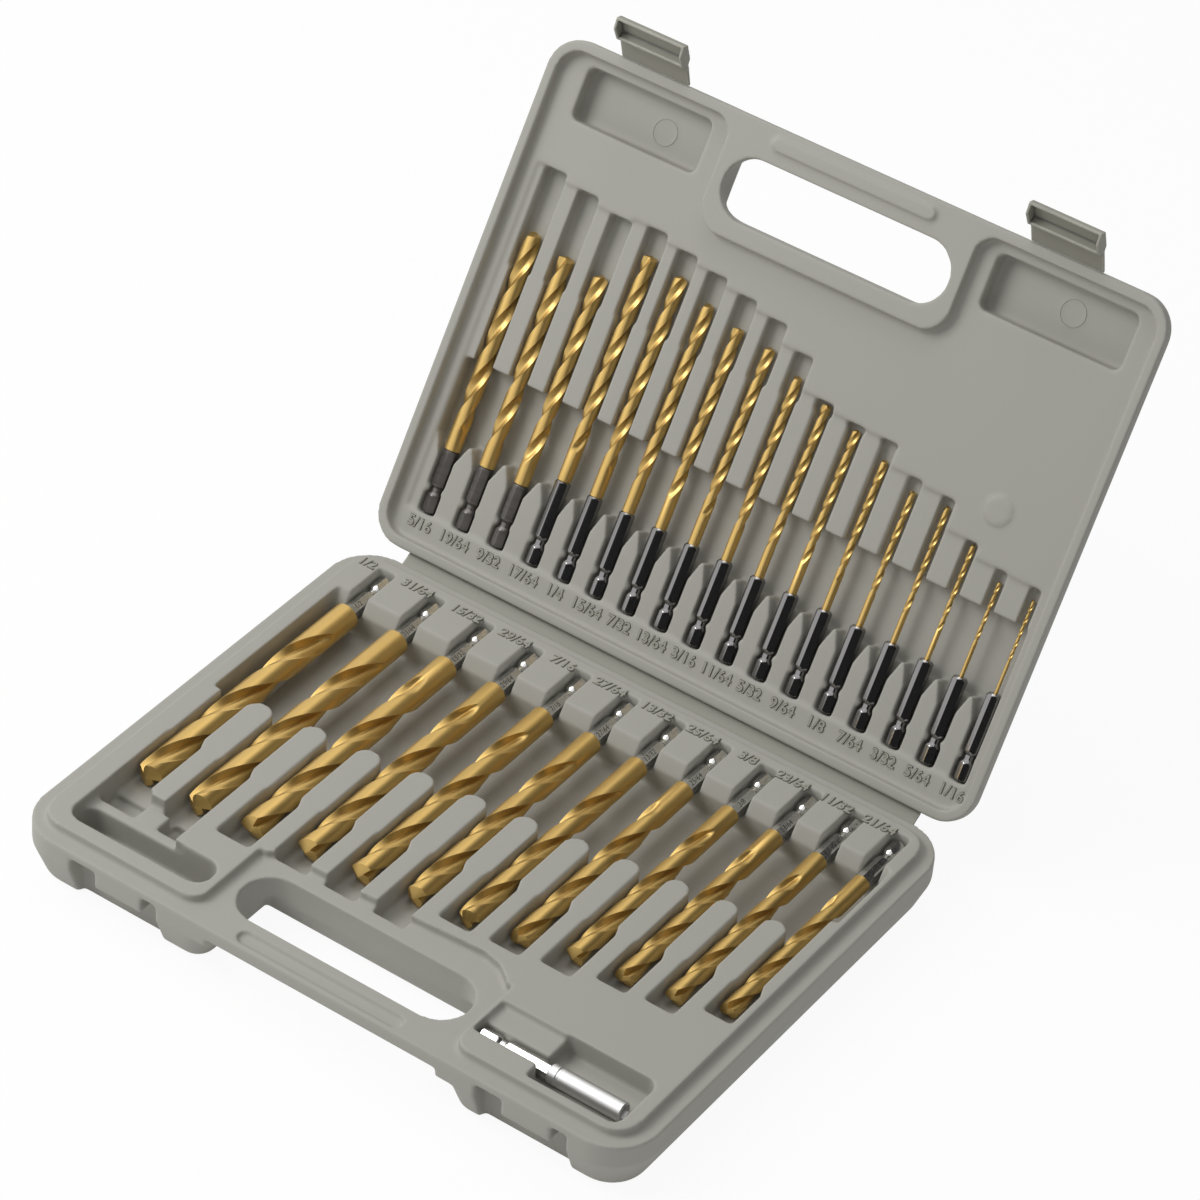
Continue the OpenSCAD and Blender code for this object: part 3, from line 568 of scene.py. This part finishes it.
def shank_mesh(name, length, end_soft, mark=""):
    """Hex shank with its locking ring, from its end at zero along +Z"""
    hexagon = hex_radius(HEX_FLATS * MM)
    full = HEX_FLATS * MM * 0.6

    def limit(z):
        """Largest radius at a height: chamfered ends and the ring's groove"""
        z = z / MM
        end = 2.55 + z * 1.25
        far = NO_LIMIT if not end_soft else 2.7 + (length - z) * 0.9
        off = abs(z - RING_AT)
        groove = NO_LIMIT
        if off < RING_HALF:
            groove = RING_RADIUS + max(0.0, off - RING_HALF / 3) * 0.66
        return min(full, min(end, far, groove) * MM)

    groove_end = RING_AT + RING_HALF + 0.1
    heights = [0, 0.3, 0.6, 0.9, 1.2, RING_AT - RING_HALF - 0.1]
    heights += [RING_AT - RING_HALF + 0.25 * k for k in range(25)]
    heights += [groove_end, (groove_end + length) / 2]
    heights += [length - 1.3, length - 0.9, length - 0.5, length - 0.2, length]
    angles = [k * 10 for k in range(-18, 18)]
    bm = bmesh.new()
    edges = start_ring(bm, angles, 0, lambda a, z: min(hexagon(a), limit(z)))
    close_ring(bm, edges)
    for height in heights[1:]:
        edges = next_ring(bm, edges, height * MM, lambda a, z: min(hexagon(a), limit(z)))
    close_ring(bm, edges)
    if mark:
        add_mark(bm, mark, length)
    mesh = mesh_from(bm, name)
    own_coordinates(mesh)
    shade(mesh, 24)
    return mesh


def text_mesh(text, height, thickness, grow=0.0):
    """Plain lettering as a mesh, its lines along +X and its thickness along Z; grow widens strokes"""
    curve = bpy.data.curves.new("lettering", "FONT")
    curve.body = text
    curve.size = height / CAPITAL_SHARE
    curve.extrude = thickness / 2
    curve.resolution_u = 3
    curve.align_x = "CENTER"
    curve.align_y = "CENTER"
    curve.offset = grow
    holder = bpy.data.objects.new("lettering", curve)
    bpy.context.scene.collection.objects.link(holder)
    bpy.context.view_layer.update()
    mesh = bpy.data.meshes.new_from_object(holder)
    bpy.data.objects.remove(holder)
    bpy.data.curves.remove(curve)
    return mesh


def add_mark(bm, text, length):
    """Dark size mark on the facet that faces up and to the left"""
    letters = text_mesh(text, MARK_HEIGHT * MM, 0.03 * MM)
    facet = Matrix.Rotation(math.radians(-30), 4, "Z") @ Matrix.Translation((0, HEX_FLATS / 2 * MM, 0))
    turn = Matrix.Rotation(math.radians(-90), 4, "X") @ Matrix.Rotation(math.radians(90), 4, "Z")
    letters.transform(facet @ Matrix.Translation((0, 0, (length - MARK_FROM_END) * MM)) @ turn)
    before = set(bm.faces)
    bm.from_mesh(letters)
    for face in bm.faces:
        if face not in before:
            face.material_index = 1
    bpy.data.meshes.remove(letters)


def drill_mesh(name, diameter, length, plain, lead, step, chamfer, section, phase=0.0):
    """Coated drill body from its back end at zero along +Z: plain part, run-out, flutes and point.
    lead is the length of a flute's turn, step the distance of two rings, phase a turn in degrees."""
    radius = diameter / 2
    angles = [(a + half + phase + 180) % 360 - 180 for half in (0, 180) for a, _ in section]
    section_a = [a for a, _ in section] + [180.0]
    section_r = [r for _, r in section] + [1.0]
    rate = 2 * math.pi / lead
    point = radius * POINT_SHARE
    straight = length - point

    bm = bmesh.new()
    edges = start_ring(bm, angles, 0, lambda a, z: radius - chamfer)
    close_ring(bm, edges)
    for height in (chamfer, plain):
        edges = next_ring(bm, edges, height, lambda a, z: radius)
    steps = max(8, round((straight - plain) / step))
    rise = (straight - plain) / steps
    ring = edges + list({v for edge in edges for v in edge.verts})
    made = bmesh.ops.spin(bm, geom=ring, cent=(0, 0, 0), axis=(0, 0, 1), dvec=(0, 0, rise),
                          angle=rate * (straight - plain), steps=steps, use_duplicate=False)["geom_last"]
    run_out = diameter * RUN_OUT
    for vert in bm.verts:
        z = vert.co.z
        if z <= plain + 1e-7:
            continue
        a = angle_of(vert)
        own = (math.degrees(a - rate * (z - plain)) - phase) % 180
        share = float(np.interp(own, section_a, section_r))
        along = min(1.0, (z - plain) / run_out)
        lift = (1 - math.sqrt(1 - (1 - along) ** 2)) * 0.85
        r = radius * min(1.0, share + lift)
        vert.co.x, vert.co.y = r * math.cos(a), r * math.sin(a)
    last_edges = [item for item in made if isinstance(item, bmesh.types.BMEdge)]
    for vert in {v for edge in last_edges for v in edge.verts}:
        r = math.hypot(vert.co.x, vert.co.y)
        own = angle_of(vert) - rate * (straight - plain) - math.radians(phase)
        up = point * (1 - (0.45 + 0.55 * abs(math.cos(own))) * r / radius)
        a = angle_of(vert) + rate * up
        vert.co = (r * math.cos(a), r * math.sin(a), straight + up)
    close_ring(bm, last_edges, length)
    mesh = mesh_from(bm, name)
    own_coordinates(mesh)
    # Painted shade in the flutes: darker the deeper a point lies, fully on the flute's shaded side, less
    # elsewhere, and a little on the chamfer and the point
    depth = []
    for vert in mesh.vertices:
        own = (math.degrees(angle_of(vert) - rate * (vert.co.z - plain)) - phase) % 180
        shade_side = min(1.0, max(0.15, (own - SHADE_START) / SHADE_SPAN))
        low = max(0.0, 1 - math.hypot(vert.co.x, vert.co.y) / radius)
        depth.append(low * shade_side if plain < vert.co.z < straight + 1e-6 else low * 0.2)
    point_attribute(mesh, "flute", depth)
    shade(mesh, 30)
    return mesh


# ---------- moulded shells ----------

def apply_modifiers(piece):
    """Replaces a piece's mesh by what its modifiers make of it"""
    graph = bpy.context.evaluated_depsgraph_get()
    mesh = bpy.data.meshes.new_from_object(piece.evaluated_get(graph))
    piece.modifiers.clear()
    old = piece.data
    piece.data = mesh
    bpy.data.meshes.remove(old)


def merged_copy(node, back):
    """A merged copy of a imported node's mesh, moved by a matrix"""
    bm = bmesh.new()
    bm.from_mesh(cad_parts[node].data)
    bmesh.ops.remove_doubles(bm, verts=bm.verts, dist=1e-6)
    bm.transform(back)
    mesh = bpy.data.meshes.new(node + "_soft")
    bm.to_mesh(mesh)
    bm.free()
    return mesh


def soften(mesh, voxel, rounds, most):
    """Voxel remesh, smoothing and thinning: rounds every edge as moulding does"""
    work = bpy.data.objects.new("work", mesh)
    bpy.context.scene.collection.objects.link(work)
    remesh = work.modifiers.new("remesh", "REMESH")
    remesh.mode = "VOXEL"
    remesh.voxel_size = voxel
    smooth = work.modifiers.new("smooth", "SMOOTH")
    smooth.factor = 0.5
    smooth.iterations = rounds
    bpy.context.view_layer.update()
    apply_modifiers(work)
    count = sum(len(p.vertices) - 2 for p in work.data.polygons)
    if count > most:
        thin = work.modifiers.new("thin", "DECIMATE")
        thin.ratio = most / count
        bpy.context.view_layer.update()
        apply_modifiers(work)
    mesh = work.data
    bpy.data.objects.remove(work)
    return mesh


def edge_attribute(mesh):
    """How far each point stands out on an outer edge, or lies in an inner corner, from 0 to 1"""
    count = len(mesh.vertices)
    co = point_vectors(mesh, "co")
    normal = point_vectors(mesh, "normal")
    ends = np.zeros(len(mesh.edges) * 2, np.int64)
    mesh.edges.foreach_get("vertices", ends)
    ends = ends.reshape(-1, 2)
    way = co[ends[:, 1]] - co[ends[:, 0]]
    length = np.maximum(np.linalg.norm(way, axis=1), 1e-7)
    total = np.zeros(count)
    number = np.zeros(count)
    for a, b, sign in ((0, 1, 1), (1, 0, -1)):
        value = -np.einsum("ij,ij->i", normal[ends[:, a]], way * sign) / length ** 2
        np.add.at(total, ends[:, a], value)
        np.add.at(number, ends[:, a], 1)
    bend = total / np.maximum(number, 1) * 0.001
    # edge: convex edges, lightened as wear and as a painted highlight; cavity: inner corners and
    # creases, darkened as painted shade
    for name, sign in (("edge", 1), ("cavity", -1)):
        value = np.clip(bend * sign / SHARP_BEND, 0, 1).astype(np.float32)
        point_attribute(mesh, name, value)


def outer_attribute(mesh, back, face):
    """Marks the stippled outer walls, and darkens the deep recesses with a painted shade. The matrix
    leads into the frame where the parting face is at zero height; face is the height of the face round
    the recesses."""
    turn = np.array(back)
    local = point_vectors(mesh, "co") @ turn[:3, :3].T + turn[:3, 3]
    x = np.abs(local[:, 0])
    y = np.abs(local[:, 1])
    low = -local[:, 2]
    wall = np.maximum(x - (CASE_W / 2 - WALL_BAND), y - (CASE_D / 2 - WALL_BAND)) > 0
    mark = (wall & (low > STIPPLE_START)).astype(np.float32)
    point_attribute(mesh, "outer", mark)
    facing = point_vectors(mesh, "normal") @ turn[:3, :3].T
    # Painted shade: upward-facing surfaces are darker the deeper they lie below the face round the
    # recesses, and the outer walls get none
    deep = np.clip((low + face - RECESS_START) / RECESS_DEPTH, 0, 1)
    deep = deep * np.clip((facing[:, 2] + 0.5) * 4, 0, 1)
    deep = np.where(wall, 0, deep).astype(np.float32)
    point_attribute(mesh, "recess", deep)


def shell_piece(name, node, body, place, middle, face, sizes):
    """Softens one packed shell; middle is the parting face's centre in the shell's own frame"""
    mesh = merged_copy(node, place.inverted())
    mesh = soften(mesh, sizes.voxel, sizes.softness, sizes.triangles)
    mesh.transform(place)
    mesh.shade_smooth()
    edge_attribute(mesh)
    outer_attribute(mesh, (place @ Matrix.Translation(middle)).inverted(), face)
    mesh.name = name
    return new_piece(name, mesh, ["case_plastic"], body, (node,))


# ---------- studio ----------

def stage_floor(scene):
    """A white floor on which the case leaves only a faint shadow"""
    bm = bmesh.new()
    bmesh.ops.create_grid(bm, x_segments=1, y_segments=1, size=12)
    mesh = mesh_from(bm, "studio_floor", recalc=False)
    floor = bpy.data.objects.new("studio_floor", mesh)
    scene.collection.objects.link(floor)
    material, graph, shader = new_material("studio_floor")
    shader.inputs["Base Color"].default_value = linear(scene.drillcase_colours.floor)
    shader.inputs["Roughness"].default_value = 1.0
    shader.inputs["Specular IOR Level"].default_value = 0.0
    seen = shown_share(graph)
    white = graph.add("ShaderNodeEmission")
    white.inputs["Color"].default_value = (1, 1, 1, 1)
    blend = graph.add("ShaderNodeMixShader")
    graph.put(graph.math("MULTIPLY", seen, FLOOR_WHITE), blend.inputs[0])
    graph.put(shader.outputs[0], blend.inputs[1])
    graph.put(white.outputs[0], blend.inputs[2])
    graph.put(blend.outputs[0], material.node_tree.nodes["Material Output"].inputs["Surface"])
    mesh.materials.append(material)


def stage_cards(scene):
    """Dark cards beside and behind the case, which darken one side of the metal's reflections"""
    material, _, shader = new_material("dark_card")
    shader.inputs["Base Color"].default_value = (0.03, 0.03, 0.03, 1)
    shader.inputs["Roughness"].default_value = 1.0
    for name, spot, width, height, turn in CARDS:
        bm = bmesh.new()
        bmesh.ops.create_grid(bm, x_segments=1, y_segments=1, size=1.0)
        bm.transform(Matrix.Translation(spot) @ Matrix.Rotation(math.radians(turn), 4, "Z")
                     @ Matrix.Rotation(math.radians(90), 4, "X")
                     @ Matrix.Diagonal((width, height, 1, 1)))
        mesh = mesh_from(bm, name, recalc=False)
        mesh.materials.append(material)
        card = bpy.data.objects.new(name, mesh)
        scene.collection.objects.link(card)
        card.visible_camera = False
        card.visible_diffuse = False
        card.visible_shadow = False


def stage_world(scene):
    """Surroundings that are white to look at and give only a little light"""
    world = bpy.data.worlds.new("studio")
    world.use_nodes = True
    graph = Graph(world.node_tree)
    shown = shown_share(graph)
    background = world.node_tree.nodes["Background"]
    background.inputs["Color"].default_value = (1, 1, 1, 1)
    graph.put(graph.span(shown, 0, 1, ROOM_LIGHT, 1.0), background.inputs["Strength"])
    scene.world = world


def stage_lights(scene):
    """Square area lights that look at the middle of the case"""
    for name, spot, size, watts in LIGHTS:
        lamp = bpy.data.lights.new(name, "AREA")
        lamp.shape = "SQUARE"
        lamp.size = size
        lamp.energy = watts
        light_object = bpy.data.objects.new(name, lamp)
        scene.collection.objects.link(light_object)
        toward = Vector(LIT_PLACE) - Vector(spot)
        light_object.matrix_world = (Matrix.Translation(spot)
                                     @ toward.to_track_quat("-Z", "Y").to_matrix().to_4x4())


def stage_camera(scene):
    """The camera that was fitted to the photograph"""
    camera = bpy.data.cameras.new("photo_camera")
    camera.lens = CAMERA_LENS
    camera.sensor_width = 36
    camera.clip_end = 50
    camera_object = bpy.data.objects.new("photo_camera", camera)
    scene.collection.objects.link(camera_object)
    forward = Vector(CAMERA_FORWARD).normalized()
    right = Vector(CAMERA_RIGHT).normalized()
    up = right.cross(forward).normalized()
    right = forward.cross(up)
    turn = Matrix((right, up, -forward)).transposed().to_4x4()
    camera_object.matrix_world = Matrix.Translation(CAMERA_PLACE) @ turn
    scene.camera = camera_object


# ---------- operators ----------

class CASE_OT_materials(bpy.types.Operator):
    """Makes the plastics, the coating and the steels"""
    bl_idname = "drillcase.materials"
    bl_label = "Materials"

    def execute(self, context):
        colours = context.scene.drillcase_colours
        moulded = mould_group()
        turned = turned_group()
        # The last number of each is how much the edges are rubbed and lightened with a painted highlight
        plastic_material("case_plastic", moulded, colours.plastic, colours.plastic_worn_and_sheen, 0.5)
        # The numbers' lighter plastic is a painted highlight on them and on the ring marks; their dark
        # plastic is a painted shadow round their strokes
        for name, share, wear_and_sheen in (("latch_plastic", 0.93, 0.7), ("number_highlight_plastic", 1.12, 0),
                                  ("number_shadow_outline", 0.36, 0)):
            plastic_material(name, moulded, [c * share for c in colours.plastic],
                             colours.plastic_worn_and_sheen, wear_and_sheen)
        coating_material("coated_steel", turned, colours)
        steel_material("dark_steel", turned, colours.dark_steel, 0.16, 700.0)
        steel_material("dull_steel", turned, [c * 0.6 for c in colours.dark_steel], 0.38, 900.0)
        steel_material("bright_steel", turned, colours.bright_steel, 0.2, 900.0)
        steel_material("satin_steel", turned, [c * 0.7 for c in colours.bright_steel], 0.34, 1800.0)
        mark_material("etched_mark")
        return {"FINISHED"}


class CASE_OT_shells(bpy.types.Operator):
    """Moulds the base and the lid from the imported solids, with soft edges"""
    bl_idname = "drillcase.shells"
    bl_label = "Base and lid"

    def execute(self, context):
        sizes = context.scene.drillcase_sizes
        shell_piece("base_moulding", "base_shell", "base", Matrix.Identity(4), (0, 0, PARTING_Z),
                    BASE_FACE, sizes)
        shell_piece("lid_moulding", "lid_shell", "lid", lid_place, (0, CASE_D / 2, 0),
                    LID_FACE, sizes)
        return {"FINISHED"}


class CASE_OT_hinge(bpy.types.Operator):
    """Makes the thin web between the two halves, sunk between its two folds"""
    bl_idname = "drillcase.hinge"
    bl_label = "Hinge web"

    def execute(self, context):
        mesh = merged_copy("hinge_strip", Matrix.Identity(4))
        mesh = soften(mesh, *HINGE_SOFT)
        mesh.shade_smooth()
        edge_attribute(mesh)
        new_piece("hinge_web", mesh, ["latch_plastic"], "strip", ("hinge_strip",))
        return {"FINISHED"}


class CASE_OT_latches(bpy.types.Operator):
    """Makes the two snap latches with their soft moulded edges"""
    bl_idname = "drillcase.latches"
    bl_label = "Latches"

    def execute(self, context):
        for side in ("left", "right"):
            mesh = merged_copy(side + "_latch", lid_place.inverted())
            mesh = soften(mesh, *LATCH_SOFT)
            mesh.transform(lid_place)
            mesh.shade_smooth()
            edge_attribute(mesh)
            new_piece(side + "_snap_latch", mesh, ["latch_plastic"], side + "_latch",
                      (side + "_latch",))
        return {"FINISHED"}


class CASE_OT_large_drills(bpy.types.Operator):
    """Makes the twelve large drills with their bright hex shanks"""
    bl_idname = "drillcase.large_drills"
    bl_label = "Large drills"

    def execute(self, context):
        sizes = context.scene.drillcase_sizes
        for i, length in enumerate(LARGE_LENGTHS):
            number = LARGE_FIRST - i
            node = "drill_%02d_64" % number
            body = "bit_%02d" % number
            diameter = number * IN64
            place = (Matrix.Translation((large_x(i) * MM, LARGE_END_Y, LARGE_AXIS_Z))
                     @ Matrix.Rotation(math.pi / 2, 4, "X"))
            mesh = drill_mesh(node + "_body", diameter, (length - LARGE_HEX) * MM, LARGE_PLAIN * MM,
                              diameter * sizes.large_lead, sizes.flute_step, LARGE_CHAMFER * MM,
                              LARGE_SECTION, LARGE_TURNS[i])
            mesh.transform(place @ Matrix.Translation((0, 0, LARGE_HEX * MM)))
            new_piece(node + "_body", mesh, ["coated_steel"], body, (node,))
            mesh = shank_mesh(node + "_hex", LARGE_HEX + 1, False, SIZE_MARKS[number])
            mesh.transform(place)
            new_piece(node + "_hex", mesh, ["bright_steel", "etched_mark"], body,
                      (node,))
        return {"FINISHED"}


class CASE_OT_small_drills(bpy.types.Operator):
    """Makes the seventeen small drills with their dark hex shanks"""
    bl_idname = "drillcase.small_drills"
    bl_label = "Small drills"

    def execute(self, context):
        sizes = context.scene.drillcase_sizes
        for i, length in enumerate(SMALL_LENGTHS):
            number = SMALL_FIRST - i
            body = "bit_%02d" % number
            diameter = number * IN64
            hex_length = small_hex(i)
            spot = (small_x(i) * MM, SMALL_START * MM, -SMALL_SINK * MM)
            place = (lid_place @ Matrix.Translation(spot)
                     @ Matrix.Rotation(-math.pi / 2, 4, "X"))
            lead = diameter * sizes.small_lead
            plain = (SHORT_PLAIN if i < SHORT_COUNT else LONG_PLAIN) * MM
            mesh = drill_mesh("drill_%02d_twist" % number, diameter, (length - hex_length) * MM, plain,
                              lead, max(lead / SMALL_STEPS, SMALL_STEP_MIN), SMALL_CHAMFER * MM,
                              SMALL_SECTION, SMALL_TURN * i % 180)
            mesh.transform(place @ Matrix.Translation((0, 0, hex_length * MM)))
            new_piece("drill_%02d_twist" % number, mesh, ["coated_steel"], body,
                      ("drill_%02d_64" % number,))
            mesh = shank_mesh("shank_%02d_hex" % number, hex_length, True)
            mesh.transform(place)
            steel = "dull_steel" if i < SHORT_COUNT else "dark_steel"
            new_piece("shank_%02d_hex" % number, mesh, [steel], body,
                      ("shank_%02d_64" % number,))
        return {"FINISHED"}


class CASE_OT_holder(bpy.types.Operator):
    """Makes the bit holder: hex shank and satin sleeve with its hex socket"""
    bl_idname = "drillcase.holder"
    bl_label = "Bit holder"

    def execute(self, context):
        place = (Matrix.Translation((HOLDER_X * MM, HOLDER_Y * MM, HOLDER_Z * MM))
                 @ Matrix.Rotation(math.pi / 2, 4, "Y") @ Matrix.Rotation(math.radians(30), 4, "Z"))
        mesh = shank_mesh("holder_hex", HOLDER_HEX, False)
        mesh.transform(place)
        new_piece("holder_hex", mesh, ["bright_steel"], "holder", ("holder_shank",))
        socket = hex_radius((HEX_FLATS + SOCKET_PLAY) * MM)
        outer = SLEEVE_RADIUS * MM
        rings = [(0.0, outer - 0.7 * MM), (0.7, outer), (4.0, outer), (4.3, outer - 0.3 * MM),
                 (5.0, outer - 0.3 * MM), (5.3, outer), (SLEEVE_LENGTH - 0.6, outer),
                 (SLEEVE_LENGTH, outer - 0.5 * MM)]
        bm = bmesh.new()
        edges = start_ring(bm, [k * 5 for k in range(-36, 36)], 0, lambda a, z: rings[0][1])
        close_ring(bm, edges)
        for height, radius in rings[1:]:
            edges = next_ring(bm, edges, height * MM, lambda a, z: radius)
        for height, more in ((SLEEVE_LENGTH, 0.25), (SLEEVE_LENGTH - 0.4, 0.0),
                             (SLEEVE_LENGTH - SOCKET_DEPTH, 0.0)):
            edges = next_ring(bm, edges, height * MM, lambda a, z: socket(a) + more * MM)
        close_ring(bm, edges)
        mesh = mesh_from(bm, "holder_tube")
        own_coordinates(mesh)
        shade(mesh)
        mesh.transform(place @ Matrix.Translation((0, 0, HOLDER_HEX * MM)))
        new_piece("holder_tube", mesh, ["satin_steel"], "holder", ("holder_sleeve",))
        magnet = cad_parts["holder_magnet"].data
        magnet.materials.clear()
        magnet.materials.append(bpy.data.materials["dull_steel"])
        return {"FINISHED"}


class CASE_OT_numbers(bpy.types.Operator):
    """Raises the size numbers out of the base and the lid, made lighter as a painted highlight, each
    with a dark outline that is a painted shadow
    """
    bl_idname = "drillcase.numbers"
    bl_label = "Size numbers"

    def execute(self, context):
        sizes = context.scene.drillcase_sizes
        for name, body, count, first in (("base_numbers", "base", 12, LARGE_FIRST),
                                         ("lid_numbers", "lid", 17, SMALL_FIRST)):
            bm = bmesh.new()
            for i in range(count):
                text = SIZE_MARKS[first - i]
                if body == "base":
                    spot = Matrix.Translation((large_x(i) * MM - NUMBER_ASIDE, BASE_ROW_Y, TRAY_Z))
                else:
                    spot = lid_place @ Matrix.Translation((small_x(i) * MM, LID_ROW, LID_ROW_Z))
                # First the letters in the lighter plastic, a painted highlight, then a wider and lower
                # copy in the dark plastic, a painted shadow round each stroke
                for rise, grow, index in ((sizes.number_rise, 0, 0),
                                          (sizes.number_rise * 0.4, sizes.number_height * 0.05, 1)):
                    letters = text_mesh(text, sizes.number_height, rise * 2, grow=grow)
                    letters.transform(spot)
                    before = len(bm.faces)
                    bm.from_mesh(letters)
                    bm.faces.ensure_lookup_table()
                    for face in bm.faces[before:]:
                        face.material_index = index
                    bpy.data.meshes.remove(letters)
            bmesh.ops.remove_doubles(bm, verts=bm.verts, dist=1e-6)
            mesh = mesh_from(bm, name)
            new_piece(name, mesh, ["number_highlight_plastic", "number_shadow_outline"], body)
        return {"FINISHED"}


class CASE_OT_ring_marks(bpy.types.Operator):
    """Raises the round marks that the mould left in the lid's pockets and round its button"""
    bl_idname = "drillcase.ring_marks"
    bl_label = "Ring marks"

    def execute(self, context):
        bm = bmesh.new()
        for x, y, z, radius in RING_MARKS:
            made = bmesh.ops.create_circle(bm, cap_ends=False, radius=RING_WIRE * MM,
                                           segments=8)["verts"]
            place = Matrix.Translation((radius * MM, 0, 0)) @ Matrix.Rotation(math.pi / 2, 4, "X")
            bmesh.ops.transform(bm, verts=made, matrix=place)
            geom = made + list({edge for vert in made for edge in vert.link_edges})
            bmesh.ops.spin(bm, geom=geom, cent=(0, 0, 0), axis=(0, 0, 1), angle=2 * math.pi, steps=56,
                           use_merge=True, use_duplicate=False)
            ring = [vert for vert in bm.verts if not vert.tag]
            place = lid_place @ Matrix.Translation((x * MM, y * MM, z * MM))
            bmesh.ops.transform(bm, verts=ring, matrix=place)
            for vert in ring:
                vert.tag = True
        mesh = mesh_from(bm, "lid_ring_marks")
        mesh.shade_smooth()
        # The ring marks take the numbers' lighter plastic, a painted highlight
        new_piece("lid_ring_marks", mesh, ["number_highlight_plastic"], "lid")
        return {"FINISHED"}


class CASE_OT_stage(bpy.types.Operator):
    """Sets the floor, the dark cards, the soft lights, the white surroundings and the camera"""
    bl_idname = "drillcase.stage"
    bl_label = "Studio"

    def execute(self, context):
        scene = context.scene
        stage_floor(scene)
        stage_cards(scene)
        stage_world(scene)
        stage_lights(scene)
        stage_camera(scene)
        scene.view_settings.view_transform = "Standard"
        return {"FINISHED"}


class CASE_PT_panel(bpy.types.Panel):
    """Shows the settings and a button for each step"""
    bl_label = "Drill bit case"
    bl_idname = "CASE_PT_panel"
    bl_space_type = "VIEW_3D"
    bl_region_type = "UI"
    bl_category = "Drill case"

    def draw(self, context):
        for settings in (context.scene.drillcase_sizes, context.scene.drillcase_colours):
            for name in settings.__annotations__:
                self.layout.prop(settings, name)
        for operator in OPERATORS:
            self.layout.operator(operator.bl_idname)


OPERATORS = (CASE_OT_stage, CASE_OT_materials, CASE_OT_shells, CASE_OT_hinge, CASE_OT_latches,
             CASE_OT_large_drills, CASE_OT_small_drills, CASE_OT_holder, CASE_OT_numbers,
             CASE_OT_ring_marks)
CLASSES = (CaseSizes, CaseColours) + OPERATORS + (CASE_PT_panel,)


def register():
    for cls in CLASSES:
        bpy.utils.register_class(cls)
    bpy.types.Scene.drillcase_sizes = PointerProperty(type=CaseSizes)
    bpy.types.Scene.drillcase_colours = PointerProperty(type=CaseColours)


def unregister():
    del bpy.types.Scene.drillcase_colours
    del bpy.types.Scene.drillcase_sizes
    for cls in reversed(CLASSES):
        bpy.utils.unregister_class(cls)


def main():
    register()
    for operator in OPERATORS:
        getattr(bpy.ops.drillcase, operator.bl_idname.split(".")[1])()


if __name__ == "__main__":
    main()
